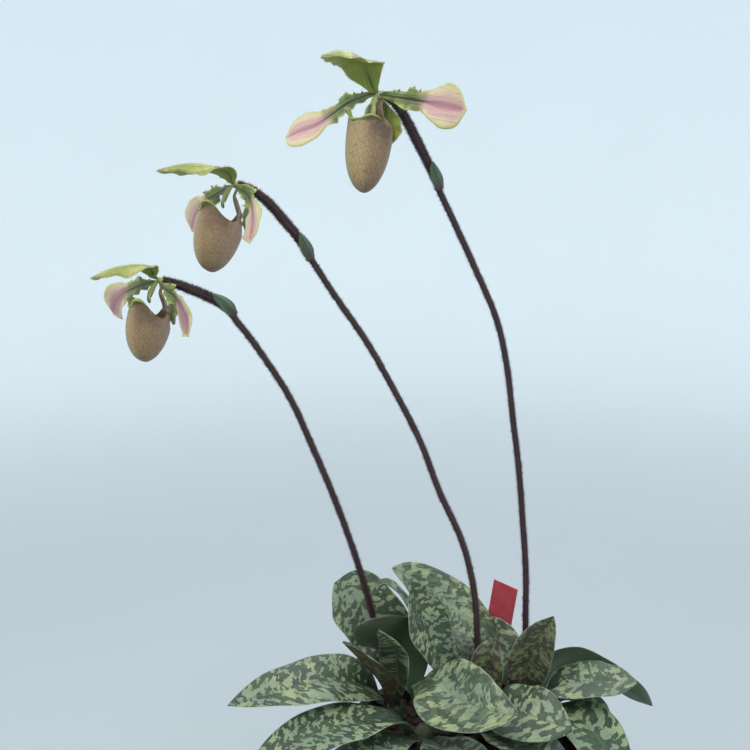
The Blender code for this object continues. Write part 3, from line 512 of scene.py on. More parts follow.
def blade_skin(surface, across, half_width, length, thickness, seed, thin_edge=0.45, flip=1):
    """A closed blade: an upper and an under skin that meet at a rounded edge and at the tip."""
    rows, columns = surface.shape[:2]
    share = np.linspace(0, 1, rows)
    edge = np.sqrt(np.maximum(1 - np.abs(across) ** 10, 0)) * (1 - (1 - thin_edge) * np.abs(across) ** 1.5)
    end = np.sqrt(np.clip(1 - share ** 24, 0, 1))
    half = thickness / 2 * edge[None, :] * end[:, None]
    normal = surface_normals(surface)
    upper = surface + normal * half[..., None]
    under = surface - normal * half[..., None]
    points = np.concatenate([upper.reshape(-1, 3), under.reshape(-1, 3)])
    x = half_width[:, None] * across[None, :] * flip
    y = np.repeat(share[:, None] * length, columns, axis=1)
    place = np.stack([x, y, np.full_like(x, seed)], axis=-1).reshape(-1, 3)
    sides = np.stack([np.tile(across * flip, (rows, 1)),
                      np.repeat(share[:, None], columns, axis=1)], axis=-1).reshape(-1, 2)
    is_edge = np.tile(np.abs(across) > 0.999, rows)
    top = np.where(is_edge, 0.5, 1.0)
    below = np.where(is_edge, 0.5, 0.0)
    shares = np.concatenate([np.column_stack([sides, top]), np.column_stack([sides, below])])
    offset = rows * columns

    def upper_at(i, j):
        return i * columns + j

    def under_at(i, j):
        if j in (0, columns - 1) or i == rows - 1:
            return upper_at(i, j)
        return offset + i * columns + j

    faces = []
    for i in range(rows - 1):
        for j in range(columns - 1):
            faces.append((upper_at(i, j), upper_at(i, j + 1),
                          upper_at(i + 1, j + 1), upper_at(i + 1, j)))
            faces.append((under_at(i, j + 1), under_at(i, j),
                          under_at(i + 1, j), under_at(i + 1, j + 1)))
    for j in range(columns - 1):
        ring = [upper_at(0, j + 1), upper_at(0, j), under_at(0, j), under_at(0, j + 1)]
        faces.append(tuple(dict.fromkeys(ring)))
    return Skin(points, faces, np.concatenate([place, place]), shares)


def loft_skin(route, rings, seed=0.0):
    """A tube with closed ends. rings gives, for each point of route, the points around it."""
    rows, sides = rings.shape[:2]
    faces = ring_faces(rows, sides)
    faces.append(tuple(range(sides)))
    faces.append(tuple(reversed(range((rows - 1) * sides, rows * sides))))
    along = distance_along(route)
    turn = np.arange(sides) / sides
    place = np.stack([np.tile(turn, (rows, 1)), np.repeat(along[:, None], sides, axis=1),
                      np.full((rows, sides), seed)], axis=-1).reshape(-1, 3)
    share = np.stack([np.tile(np.cos(turn * math.tau), (rows, 1)),
                      np.repeat((along / along[-1])[:, None], sides, axis=1),
                      np.tile(np.sin(turn * math.tau), (rows, 1))], axis=-1).reshape(-1, 3)
    return Skin(rings.reshape(-1, 3), faces, place, share)


def tube_rings(route, radius, sides, width_way, depth=1.0, ridges=0, ridge_depth=0.0):
    """Rings of points around a route, oval by depth and with lengthwise ridges."""
    tangent = unit(np.gradient(route, axis=0))
    side = unit(width_way - tangent * (tangent * width_way).sum(axis=1, keepdims=True))
    normal = np.cross(side, tangent)
    angles = round_angles(sides)
    girth = 1 + ridge_depth * np.cos(angles * ridges) if ridges else np.ones(sides)
    radius = np.asarray(radius, float)[:, None] * girth[None, :]
    return (route[:, None, :] + side[:, None, :] * (np.cos(angles) * radius)[..., None]
            + normal[:, None, :] * (np.sin(angles) * radius * depth)[..., None])


def needle_skin(feet, ways, lengths, thickness):
    """Stiff hairs: each is a closed, three-sided needle from its foot along its way."""
    feet, ways = np.asarray(feet, float), unit(ways)
    lengths = np.asarray(lengths, float)[:, None]
    helper = np.where(np.abs(ways[:, 2:3]) < 0.8, [[0, 0, 1.0]], [[1.0, 0, 0]])
    side = unit(np.cross(ways, helper))
    other = np.cross(ways, side)
    corners = [feet + (side * math.cos(a) + other * math.sin(a)) * thickness for a in round_angles(3)]
    points = np.stack([*corners, feet + ways * lengths], axis=1).reshape(-1, 3)
    faces = []
    for first in range(0, len(points), 4):
        a, b, c, tip = first, first + 1, first + 2, first + 3
        faces += [(a, c, b), (a, b, tip), (b, c, tip), (c, a, tip)]
    share = np.tile([[0, 0, 0], [0, 0, 0], [0, 0, 0], [0, 0, 1.0]], (len(feet), 1))
    return Skin(points, faces, points, share)


# Materials

class Tone:
    """A socket of a material, with the operators that write its maths as expressions."""

    def __init__(self, paint, socket):
        self.paint = paint
        self.socket = socket

    def maths(self, operation, *others):
        return self.paint.node("Math", {"operation": operation}, dict(enumerate((self, *others))))

    def __add__(self, other):
        return self.maths("ADD", other)

    def __sub__(self, other):
        return self.maths("SUBTRACT", other)

    def __rsub__(self, other):
        return self.paint.node("Math", {"operation": "SUBTRACT"}, {0: other, 1: self})

    def __mul__(self, other):
        return self.maths("MULTIPLY", other)

    def __truediv__(self, other):
        return self.maths("DIVIDE", other)

    def __pow__(self, other):
        return self.maths("POWER", other)

    def __abs__(self):
        return self.maths("ABSOLUTE")

    __radd__ = __add__
    __rmul__ = __mul__

    def floor(self):
        return self.maths("FLOOR")

    def wave(self):
        return self.maths("SINE")

    def least(self, other):
        return self.maths("MINIMUM", other)

    def rise(self, low, high):
        """0 below low and 1 above high, with a smooth climb between."""
        return self.paint.node("MapRange", {"interpolation_type": "SMOOTHSTEP"}, {0: self, 1: low, 2: high})

    def fall(self, low, high):
        return 1 - self.rise(low, high)


class Paint:
    """A material while it is being made."""

    def __init__(self, name):
        self.material = bpy.data.materials.new(name)
        self.material.use_nodes = True
        self.tree = self.material.node_tree
        self.shader = self.tree.nodes["Principled BSDF"]

    def node(self, kind, settings=None, inputs=None, output=0):
        """Any node: its type, settings, socket values or links, and the output that is wanted."""
        made = self.tree.nodes.new("ShaderNode" + kind)
        for name, value in (settings or {}).items():
            setattr(made, name, value)
        for place, value in (inputs or {}).items():
            self.feed(made.inputs[place], value)
        return Tone(self, made.outputs[output])

    def feed(self, socket, value):
        if isinstance(value, Tone):
            self.tree.links.new(value.socket, socket)
        elif socket.type == "RGBA":
            socket.default_value = (*value, 1)
        else:
            socket.default_value = value

    def vector(self, x, y, z=0.0):
        return self.node("CombineXYZ", None, {0: x, 1: y, 2: z})

    def split(self, vector):
        """The three numbers of a vector."""
        numbers = self.node("SeparateXYZ", None, {0: vector})
        return [Tone(self, socket) for socket in numbers.socket.node.outputs]

    def parts(self, attribute):
        """The three numbers that a piece's points hold under a name."""
        return self.split(self.node("Attribute", {"attribute_name": attribute}, None, "Vector"))

    def here(self):
        """The place on the piece, in metres."""
        return self.split(self.node("TexCoord", None, None, "Object"))

    def noise(self, x, y, z=0.0, detail=2.0, roughness=0.5):
        """Cloudy noise around one half, with lumps about one unit across."""
        return self.node("TexNoise", None, {"Vector": self.vector(x, y, z), "Scale": 1.0,
                                            "Detail": detail, "Roughness": roughness})

    def chance(self, x):
        """A random number from 0 to 1 for each whole number."""
        return self.node("TexWhiteNoise", {"noise_dimensions": "1D"}, {"W": x})

    def mesh_of_cells(self, x, y, z=0.0):
        """Distance to the nearest wall of a net of cells one unit across."""
        return self.node("TexVoronoi", {"feature": "DISTANCE_TO_EDGE"},
                         {"Vector": self.vector(x, y, z), "Scale": 1.0}, "Distance")

    def mix(self, first, second, share):
        return self.node("Mix", {"data_type": "RGBA"}, {0: share, 6: first, 7: second}, 2)

    def layers(self, ground, *coats):
        """A ground under coats of colour, each given with the share that it covers."""
        for colour, share in coats:
            ground = self.mix(ground, colour, share)
        return ground

    def shade(self, colour, strength):
        """A colour multiplied by a grey."""
        return self.node("VectorMath", {"operation": "SCALE"}, {0: colour, 3: strength})

    def done(self, colour, roughness=0.5, relief=None, depth=0.2, **fixed):
        """Joins the finished sums to the shader. depth is the relief's height in millimetres."""
        self.feed(self.shader.inputs["Base Color"], colour)
        self.feed(self.shader.inputs["Roughness"], roughness)
        if relief is not None:
            bump = self.node("Bump", None, {"Height": relief, "Distance": depth * MM})
            self.feed(self.shader.inputs["Normal"], bump)
        for name, value in fixed.items():
            self.feed(self.shader.inputs[name.replace("_", " ").title()], value)
        return self.material


# Finishes

LEAF_PALE = (0.19, 0.245, 0.15)
LEAF_YELLOW = (0.29, 0.335, 0.165)
LEAF_DULL = (0.13, 0.18, 0.1)
LEAF_DARK = (0.02, 0.036, 0.024)
LEAF_GREEN = (0.034, 0.062, 0.026)
LEAF_FADED = (0.055, 0.085, 0.048)
# painted shade: a near-black green that darkens the foot of each leaf deep in the clump
LEAF_FOOT_SHADE = (0.02, 0.036, 0.018)
LEAF_MIDRIB = (0.12, 0.17, 0.08)
LEAF_MARGIN = (0.33, 0.39, 0.26)
LEAF_BACK = (0.085, 0.14, 0.075)
LEAF_BACK_BROWN = (0.14, 0.125, 0.09)
YOUNG_BROWN = (0.05, 0.032, 0.024)
YOUNG_OLIVE = (0.13, 0.145, 0.05)


def leaf_finish(name, young):
    """Dark blotches that step from vein to vein over a pale ground, darkened at the foot with painted shade;
    the underside is plain.
    """
    paint = Paint(name)
    x, y, seed = paint.parts("place")
    across, along, upper = paint.parts("share")
    coarse = paint.chance(seed * 3.1) * 0.3 + (0.45 if young else 0.6)
    wander = paint.noise(x / 14, y / 14, seed + 9) - 0.5
    vein = (x / VEIN_GAP + 80.5 + wander * 1.6).floor()
    step = paint.chance(vein + seed * 13) - 0.5
    ahead = y + step * 1.2 + abs(x) * 0.4 + wander * 4
    bars = paint.noise(x / (coarse * 6.4), ahead / (coarse * 3.9), seed, detail=1.0)
    patches = paint.noise(x / 8, ahead / 7, seed + 3, detail=1)
    crumbs = paint.noise(x / 1.6, ahead / 1.1, seed + 15, detail=1) - 0.5
    # painted shade: more dark blotches towards the leaf's foot, where the clump is shaded
    painted_shade_foot = along.fall(0.0, 0.42) * 0.13
    blotch = bars * 0.78 + patches * 0.22 + crumbs * 0.06 + painted_shade_foot
    dark = blotch.rise(0.474, 0.506)
    cloud = paint.noise(x / 16, y / 18, seed + 6, detail=2)
    lines = paint.noise(x * 2.4, y / 9, seed, detail=3, roughness=0.7)
    dull = paint.noise(x / 3, ahead / 2.4, seed + 12).rise(0.52, 0.66) * 0.65
    pale = paint.layers(LEAF_PALE, (LEAF_YELLOW, cloud.rise(0.44, 0.66)), (LEAF_DULL, dull))
    deep = paint.layers(LEAF_DARK, (LEAF_GREEN, patches.rise(0.4, 0.6)),
                        (LEAF_FADED, bars.rise(0.6, 0.75) * 0.6))
    # the near-black layer at the foot is painted shade over the leaf's base
    face = paint.layers(pale, (deep, dark), (LEAF_FOOT_SHADE, along.fall(0.02, 0.3) * 0.6))
    if young:
        back = paint.mix(YOUNG_BROWN, YOUNG_OLIVE, blotch.fall(0.42, 0.5))
        face = paint.mix(face, back, 0.75)
    else:
        back = paint.mix(LEAF_BACK, LEAF_BACK_BROWN, cloud.rise(0.48, 0.72))
    midrib = abs(x).fall(0.15, 0.6)
    face = paint.layers(face, (LEAF_MIDRIB, midrib * along.rise(0.1, 0.4) * 0.45),
                        (LEAF_MARGIN, abs(across).rise(0.962, 0.99) * 0.8))
    colour = paint.mix(back, face, upper.rise(0.35, 0.65))
    colour = paint.shade(colour, 0.84 + lines * 0.32)
    relief = lines * 0.5 + dark * 0.25 - midrib * 1.5
    return paint.done(colour, 0.42 + lines * 0.2 - dark * 0.04, relief, 0.18,
                      coat_weight=0.05, coat_roughness=0.4)


SHEATH_DARK = (0.02, 0.028, 0.012)
SHEATH_OLIVE = (0.07, 0.085, 0.035)


def crown_finish():
    """Dull olive sheaths with fine lines up them."""
    paint = Paint("crown")
    x, y, seed = paint.parts("place")
    lines = paint.noise(x * 40, y / 12, seed, detail=3)
    return paint.done(paint.mix(SHEATH_DARK, SHEATH_OLIVE, lines.rise(0.35, 0.65)), 0.5, lines, 0.2)


STALK_PURPLE = (0.038, 0.012, 0.018)
STALK_GROOVE = (0.03, 0.034, 0.016)
STALK_STREAK = (0.075, 0.022, 0.03)
GROOVE_COUNT = 6


def stalk_finish():
    """Dark purple brown, greener in the grooves between the ribs."""
    paint = Paint("stalk")
    turn, y, seed = paint.parts("place")
    streak = paint.noise(turn * 18, y / 9, seed, detail=3)
    grooves = (turn * (math.tau * GROOVE_COUNT)).wave()
    colour = paint.layers(STALK_PURPLE, (STALK_GROOVE, grooves.rise(0.1, 0.9) * 0.65),
                          (STALK_STREAK, streak.rise(0.5, 0.7) * 0.6))
    return paint.done(colour, 0.55, streak + grooves * 0.2, 0.15)


DOWN_ROOT = (0.2, 0.19, 0.07)
DOWN_TIP = (0.13, 0.05, 0.035)
HAIR_ROOT = (0.045, 0.016, 0.02)
HAIR_TIP = (0.13, 0.05, 0.055)


def hair_finish(name, root, tip):
    """Hairs that change from one colour at the root to another at the tip."""
    paint = Paint(name)
    ends = paint.parts("share")[2]
    return paint.done(paint.mix(root, tip, ends.rise(0.1, 1)), 0.5)


BRACT_DARK = (0.028, 0.052, 0.026)
BRACT_GREEN = (0.075, 0.115, 0.062)
BRACT_FOOT = (0.05, 0.022, 0.022)
BRACT_EDGE = (0.14, 0.17, 0.08)


def bract_finish():
    """Grey green, with fine veins and a brown base."""
    paint = Paint("bract")
    x, y, seed = paint.parts("place")
    across, along = paint.parts("share")[:2]
    veins = paint.noise(x * 3, y / 8, seed, detail=2)
    colour = paint.layers(BRACT_DARK, (BRACT_GREEN, veins.rise(0.35, 0.65)),
                          (BRACT_FOOT, along.fall(0.0, 0.45) * 0.85),
                          (BRACT_EDGE, abs(across).rise(0.88, 1) * 0.6))
    return paint.done(colour, 0.5, veins, 0.15)


SEPAL_OLIVE = (0.18, 0.235, 0.035)
SEPAL_LIGHT = (0.34, 0.39, 0.08)
SEPAL_THROAT = (0.11, 0.155, 0.02)
SEPAL_STREAK = (0.03, 0.018, 0.012)
SEPAL_BACK = (0.28, 0.32, 0.075)
SEPAL_BACK_CREAM = (0.45, 0.45, 0.15)
SEPAL_BACK_VEIN = (0.15, 0.2, 0.045)
SEPAL_BACK_BROWN = (0.26, 0.17, 0.08)
SEPAL_EDGE = (0.45, 0.48, 0.17)
BLOOM_GLOW = dict(subsurface_weight=0.12, subsurface_scale=0.002)


def sepal_finish():
    """Olive inside with a brown streak at the base; pale, downy green outside."""
    paint = Paint("sepal")
    x, y, seed = paint.parts("place")
    across, along, inner = paint.parts("share")
    veins = paint.noise(x * 2.2, y / 16, seed, detail=2)
    fan = paint.noise(across * 9, along * 1.5, seed + 2, detail=2)
    cloud = paint.noise(x / 7, y / 9, seed + 4)
    streak = abs(across + 0.05).fall(0.0, 0.16) * along.fall(0.02, 0.36)
    throat = abs(across).fall(0.05, 0.6) * along.fall(0.05, 0.4)
    inside = paint.layers(SEPAL_OLIVE, (SEPAL_LIGHT, veins.rise(0.35, 0.65) * 0.5 + along * 0.4),
                          (SEPAL_THROAT, throat * 0.6), (SEPAL_STREAK, streak * 0.9))
    worn = along.rise(0.6, 1.0) * cloud.rise(0.45, 0.6)
    outside = paint.layers(SEPAL_BACK, (SEPAL_BACK_CREAM, cloud.rise(0.4, 0.62)),
                           (SEPAL_BACK_VEIN, fan.rise(0.5, 0.6) * 0.45),
                           (SEPAL_BACK_BROWN, worn * 0.4))
    colour = paint.layers(outside, (inside, inner.rise(0.4, 0.6)),
                          (SEPAL_EDGE, abs(across).rise(0.9, 1) * 0.7))
    return paint.done(colour, 0.5, veins + fan * 0.4, 0.2, **BLOOM_GLOW)


PETAL_GREEN = (0.07, 0.105, 0.022)
PETAL_LIGHT_GREEN = (0.19, 0.24, 0.065)
PETAL_SIDE_GREEN = (0.2, 0.26, 0.08)
PETAL_CREAM = (0.6, 0.5, 0.32)
PETAL_VEIN = (0.36, 0.18, 0.17)
PETAL_STRIPE = (0.03, 0.013, 0.012)
PETAL_MAUVE = (0.34, 0.14, 0.18)
PETAL_EDGE = (0.42, 0.45, 0.1)
PETAL_TIP = (0.62, 0.57, 0.13)
PETAL_BACK = (0.17, 0.21, 0.06)
PETAL_BACK_CREAM = (0.4, 0.36, 0.2)
PETAL_BACK_STRIPE = (0.12, 0.1, 0.045)
BLUSHES = {
    "upper": (0.56, 0.36, 0.32),
    "middle": (0.52, 0.36, 0.29),
    "lower": (0.34, 0.2, 0.19),
}


def petal_finish(name, blush):
    """Green with a brown stripe near the flower, pink with a mauve stripe outside; yellow edges."""
    paint = Paint(name)
    x, y, seed = paint.parts("place")
    across, along, inner = paint.parts("share")
    edge = abs(across)
    veins = paint.noise(x * 1.9, y / 14, seed, detail=2)
    cloud = paint.noise(x / 5, y / 7, seed + 4)
    outer = (along + (cloud - 0.5) * 0.25).rise(0.40, 0.6)
    green = paint.layers(PETAL_GREEN, (PETAL_LIGHT_GREEN, veins.rise(0.35, 0.65)),
                         (PETAL_SIDE_GREEN, edge.rise(0.4, 0.9) * 0.6))
    pink = paint.layers(PETAL_CREAM, (blush, (cloud * 0.7 + edge.fall(0.1, 0.9) * 0.55).rise(0.3, 0.75)),
                        (PETAL_VEIN, veins.rise(0.5, 0.66) * 0.45))
    line = (abs(across + (veins - 0.5) * 0.16) - 0.03).fall(0.02, 0.24)
    side_lines = (abs(edge - 0.36) - 0.01).fall(0.0, 0.08) * 0.3
    stripe = (line + side_lines).least(1) * along.fall(0.45, 0.8)
    face = paint.layers(green, (pink, outer), (PETAL_STRIPE, stripe * 0.95),
                        (PETAL_MAUVE, line * along.rise(0.45, 0.62) * 0.75),
                        (PETAL_EDGE, edge.rise(0.8, 0.96) * 0.85),
                        (PETAL_TIP, along.rise(0.94, 1) * 0.8))
    colour = paint.layers(PETAL_BACK, (PETAL_BACK_CREAM, outer * 0.8), (PETAL_BACK_STRIPE, line * 0.5),
                          (face, inner.rise(0.35, 0.6)))
    return paint.done(colour, 0.45, veins, 0.2, **BLOOM_GLOW)


POUCH_BROWN = (0.27, 0.17, 0.085)
POUCH_TAN = (0.42, 0.3, 0.14)
POUCH_ROSY = (0.4, 0.28, 0.2)
POUCH_SHADOW = (0.085, 0.045, 0.025)
POUCH_TOE = (0.12, 0.07, 0.035)
POUCH_NET = (0.1, 0.055, 0.03)
POUCH_SPECK = (0.38, 0.3, 0.17)
POUCH_DOT = (0.05, 0.018, 0.02)
LIP_GREEN = (0.2, 0.27, 0.055)
LIP_YELLOW = (0.42, 0.45, 0.12)


def pouch_finish():
    """Tan brown with a fine net of veins, darker under the notch; the rolled lip is yellow green."""
    paint = Paint("pouch")
    x, y, seed = paint.parts("place")
    front, down, lip = paint.parts("share")
    bend = paint.noise(x / 3, y / 3, seed, detail=2) - 0.5
    net = paint.mesh_of_cells(x / 1.5 + bend, y / 2.3 + bend, seed)
    fine = paint.mesh_of_cells(x / 0.8 + bend, y / 1.1, seed + 7)
    veins = net.fall(0.01, 0.11) * 0.45 + fine.fall(0.0, 0.12) * 0.2
    cloud = paint.noise(x / 7, y / 10, seed + 3, detail=2)
    speck = paint.noise(x / 1.3, y / 1.3, seed + 5, detail=3, roughness=0.7)
    dots = paint.noise(x / 0.9, y / 0.9, seed + 8).rise(0.6, 0.66) * front.fall(-0.4, 0.2)
    shadow = (down + (cloud - 0.5) * 0.35).fall(0.02, 0.5) * abs(front - 0.3).fall(0.2, 0.8)
    colour = paint.layers(POUCH_BROWN, (POUCH_TAN, front.rise(0.6, 1.0) * 0.85 + cloud * 0.35 - 0.12),
                          (POUCH_ROSY, front.fall(-0.7, 0.3) * 0.6),
                          (POUCH_SHADOW, shadow * 0.85),
                          (POUCH_TOE, down.rise(0.8, 1) * 0.5),
                          (POUCH_NET, veins),
                          (POUCH_SPECK, speck.rise(0.54, 0.7) * 0.35),
                          (POUCH_DOT, dots * down.fall(0.05, 0.4) * 0.8),
                          (LIP_GREEN, lip.rise(0.15, 0.5)),
                          (LIP_YELLOW, lip.rise(0.8, 1.0) * 0.8))
    return paint.done(colour, 0.34 + speck * 0.16, speck * 0.6 - veins, 0.12, subsurface_weight=0.08,
                      subsurface_scale=0.002)


COLUMN_YELLOW = (0.36, 0.37, 0.09)
COLUMN_CREAM = (0.5, 0.5, 0.2)
SHIELD_GREEN = (0.045, 0.08, 0.015)
COLUMN_SPOT = (0.07, 0.025, 0.03)


def column_finish():
    """Yellow green, with a dark green middle on the shield and purple spots up the column."""
    paint = Paint("column")
    x, y, seed = paint.parts("place")
    across, along, shield = paint.parts("share")
    middle = abs(across).fall(0.18, 0.62) * along.rise(0.12, 0.3) * along.fall(0.7, 0.95)
    spots = paint.noise(x * 2.2, y * 1.2, seed, detail=2)
    colour = paint.layers(COLUMN_YELLOW, (COLUMN_CREAM, spots),
                          (SHIELD_GREEN, middle * shield.rise(0.5, 0.9) * 0.9),
                          (COLUMN_SPOT, spots.rise(0.57, 0.62) * shield.fall(0.2, 0.6) * 0.8))
    return paint.done(colour, 0.38, spots, 0.1, coat_weight=0.2)


POT_BLACK = (0.012, 0.012, 0.013)
POT_SCUFF = (0.045, 0.044, 0.042)


def pot_finish():
    """Matt black plastic with a grained wall, paler where the rim is scuffed."""
    paint = Paint("pot")
    x, y, z = paint.here()
    grain = paint.noise(x * 900, y * 900, z * 900, detail=3)
    scuff = paint.noise(x * 60, y * 60, z * 160, detail=4, roughness=0.7)
    worn = scuff.rise(0.52, 0.7) * z.rise(0.09, 0.106) + scuff.rise(0.6, 0.75) * 0.4
    return paint.done(paint.mix(POT_BLACK, POT_SCUFF, worn), 0.42 + scuff * 0.25, grain, 0.06)


# Bark colours: dark brown bark painted darker still as shade under the leaves; the near-black pit colour is
# painted shade
BARK_PIT_SHADE = (0.014, 0.009, 0.007)
BARK_BROWN = (0.06, 0.034, 0.02)
BARK_BREAK = (0.2, 0.085, 0.035)


def bark_finish():
    """Broken bark: brown faces, near-black pits of painted shade and a few orange breaks; all kept dark,
    partly as painted shade under the leaves.
    """
    paint = Paint("bark")
    x, y, z = paint.here()
    chip = paint.noise(x * 90, y * 90, z * 60, detail=1)
    grain = paint.noise(x * 500, y * 900, z * 900, detail=4, roughness=0.7)
    colour = paint.layers(BARK_PIT_SHADE, (BARK_BROWN, grain.rise(0.35, 0.65)),
                          (BARK_BREAK, chip.rise(0.6, 0.68) * grain.rise(0.4, 0.7) * 0.8))
    return paint.done(colour, 0.85, grain, 0.5)


LABEL_RED = (0.39, 0.04, 0.058)
LABEL_LIGHT_RED = (0.45, 0.056, 0.072)


def label_finish():
    """Blank matt red plastic with a faint grain."""
    paint = Paint("label")
    x, y, z = paint.here()
    cloud = paint.noise(x * 120, y * 120, z * 120, detail=3)
    grain = paint.noise(x * 2500, y * 2500, z * 2500)
    return paint.done(paint.mix(LABEL_RED, LABEL_LIGHT_RED, cloud.rise(0.35, 0.65)),
                      0.5 + cloud * 0.15, grain, 0.03)


WART_BLACK = (0.01, 0.006, 0.007)
WART_PURPLE = (0.04, 0.015, 0.02)


def wart_finish():
    """Nearly black, with a purple cast."""
    paint = Paint("wart")
    x, y, z = paint.parts("place")
    return paint.done(paint.mix(WART_BLACK, WART_PURPLE, paint.noise(x, y, z)), 0.35)


# Floor colours: painted light, darker near the plant and brighter far off; the wall's glow is painted light,
# not a lamp
FLOOR_NEAR = (0.44, 0.48, 0.505)
FLOOR_FAR = (0.82, 0.86, 0.88)
WALL_GLOW = (0.075, 0.088, 0.093)


def floor_finish():
    """Plain pale ground with the faintest unevenness, painted brighter far away and given a painted glow
    there.
    """
    paint = Paint("floor")
    x, y, z = paint.here()
    cloud = paint.noise(x * 3, y * 3, z * 3)
    away = (x * x + y * y) ** 0.5
    colour = paint.mix(FLOOR_NEAR, FLOOR_FAR, away.rise(0.5, 2.2))
    # painted glow: the floor gives off light that grows away from the middle
    painted_glow = paint.mix((0, 0, 0), WALL_GLOW, away.rise(0.3, 1.5))
    return paint.done(paint.shade(colour, 0.98 + cloud * 0.04), 0.9,
                      emission_color=painted_glow, emission_strength=1.0)


def make_finishes():
    finishes = {
        "leaf": leaf_finish("leaf", False),
        "young": leaf_finish("young_leaf", True),
        "stalk": stalk_finish(),
        "hair": hair_finish("stalk_hair", HAIR_ROOT, HAIR_TIP),
        "down": hair_finish("down", DOWN_ROOT, DOWN_TIP),
        "bract": bract_finish(),
        "sepal": sepal_finish(),
        "pouch": pouch_finish(),
        "column": column_finish(),
        "wart": wart_finish(),
    }
    for name, blush in BLUSHES.items():
        finishes["petal_" + name] = petal_finish("petal_" + name, blush)
    return finishes


# Pieces

def make_piece(name, skins, finish, slot, *nodes, smooth=True):
    """One object from several skins. It rides on the body and stands for the nodes named."""
    points, faces, places, shares, first = [], [], [], [], 0
    for skin in skins:
        points.append(skin.points)
        places.append(skin.place)
        shares.append(skin.share)
        faces += [tuple(first + k for k in face) for face in skin.faces]
        first += len(skin.points)
    mesh = bpy.data.meshes.new(name)
    mesh.from_pydata((np.concatenate(points) * MM).tolist(), [], faces)
    for label, values in (("place", places), ("share", shares)):
        held = mesh.attributes.new(label, "FLOAT_VECTOR", "POINT")
        held.data.foreach_set("vector", np.concatenate(values).astype(np.float32).ravel())
    mesh.polygons.foreach_set("use_smooth", [smooth] * len(mesh.polygons))
    mesh.update()
    mesh.materials.append(finish)
    piece = bpy.data.objects.new(name, mesh)
    bpy.context.scene.collection.objects.link(piece)
    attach(piece, BODY)
    if nodes:
        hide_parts(*nodes)
    return piece


def heading_of(route):
    """The way from a route's first point to its last, seen from above."""
    way = np.asarray(route[-1], float) - np.asarray(route[0], float)
    return math.degrees(math.atan2(way[1], way[0]))


def add_leaf(name, row, finishes):
    """A leaf with gently waved edges; a striped one has its pattern drawn out across it."""
    dice = random.Random(name)
    share = np.linspace(0, 1, LEAF_ROWS)
    across = spread_across(LEAF_COLUMNS)
    route = smooth_route(row["route"], LEAF_ROWS)
    heading = math.radians(row.get("heading", heading_of(row["route"])))
    side = np.tile([math.sin(heading), -math.cos(heading), 0.0], (LEAF_ROWS, 1))
    shape = leaf_outline(share, row.get("base", LEAF_BASE), row.get("tip", LEAF_TIP))
    half_width = row["width"] / 2 * shape
    roll = base_to_tip(row.get("roll", LEAF_ROLL), share * 1.4)
    fold = base_to_tip(row.get("fold", LEAF_FOLD), share * 2.2)
    surface = blade_surface(route, half_width, side, roll, fold, across)
    swing = ripple(dice, share, across, LEAF_RIPPLE, 2.2) * smoothstep(share * 4)[:, None]
    surface = surface + surface_normals(surface) * swing[..., None]
    skin = blade_skin(surface, across, half_width, gaps(route).sum(), LEAF_THICKNESS,
                      dice.uniform(0, 90))
    if row.get("striped"):
        skin.place[:, :2] *= (0.3, 1.8)
    finish = finishes["young" if row.get("young") else "leaf"]
    make_piece(name + "_blade", [skin], finish, "leaf", name)


def add_crown(name, place, finish):
    """The short stem of a growth, ridged by the sheaths of old leaves."""
    share = np.linspace(0, 1, 24)
    route = np.array([(*place, CROWN_FOOT + (CROWN_TOP - CROWN_FOOT) * s) for s in share])
    girth = CROWN_RADIUS * at_shares(CROWN_TAPER, share)
    girth = girth * (1 + 0.03 * np.sin(share * 40))
    rings = tube_rings(route, girth, 48, np.array([1.0, 0, 0]), 0.85, 5, 0.03)
    make_piece(name + "_stem", [loft_skin(route, rings)], finish, "leaf", name)


def hairs_round(route, rings, dice, count, start):
    """Hairs that stand out from a stalk all round, pointing a little towards its end."""
    rows, sides = rings.shape[:2]
    tangent = unit(np.gradient(route, axis=0))
    i = dice.integers(int(start * (rows - 1)), rows - 1, count)
    j = dice.integers(0, sides, count)
    t = dice.random(count)[:, None]
    s = dice.random(count)[:, None]
    here = rings[i, j] * (1 - t) * (1 - s) + rings[i + 1, j] * t * (1 - s)
    there = rings[i, (j + 1) % sides] * (1 - t) * s + rings[i + 1, (j + 1) % sides] * t * s
    feet = here + there
    middle = route[i] * (1 - t) + route[i + 1] * t
    outward = unit(feet - middle)
    ways = outward + tangent[i] * 0.35 + dice.normal(0, 0.22, (count, 3))
    length, thickness = STALK_HAIR
    return needle_skin(feet - outward * 0.1, ways, length * dice.uniform(0.5, 1.25, count), thickness)


def add_stalk(name, points, radii, rows, ridges, ridge_depth, hair_count, finishes):
    """A stalk or an ovary, with its short, dense hairs."""
    dice = dice_for(name)
    share = np.linspace(0, 1, rows)
    route = smooth_route(points, rows)
    radius = np.interp(share, np.linspace(0, 1, len(radii)), radii)
    rings = tube_rings(route, radius, 36, np.array([0, 1.0, 0.02]), 1.0, ridges, ridge_depth)
    stem = loft_skin(route, rings, dice.uniform(0, 50))
    make_piece(name + "_stem", [stem], finishes["stalk"], "stalk", name)
    start = BARE_FOOT if name.startswith("scape") else 0.0
    hairs = hairs_round(route, rings, dice, hair_count, start)
    make_piece(name + "_hairs", [hairs], finishes["hair"], "stalk", smooth=False)


def edge_hairs(surface, column, dice, count, hair, first, last):
    """Hairs along one edge of a blade, in its plane, between two shares of its length."""
    rows = len(surface)
    i = (dice.uniform(first, last, count) * (rows - 2)).astype(int)
    inner = surface[i, column + (3 if column == 0 else -3)]
    outward = unit(surface[i, column] - inner)
    feet = surface[i, column] - outward * 0.15
    ways = outward + dice.normal(0, 0.35, (count, 3))
    return needle_skin(feet, ways, hair[0] * dice.uniform(0.5, 1.3, count), hair[1])


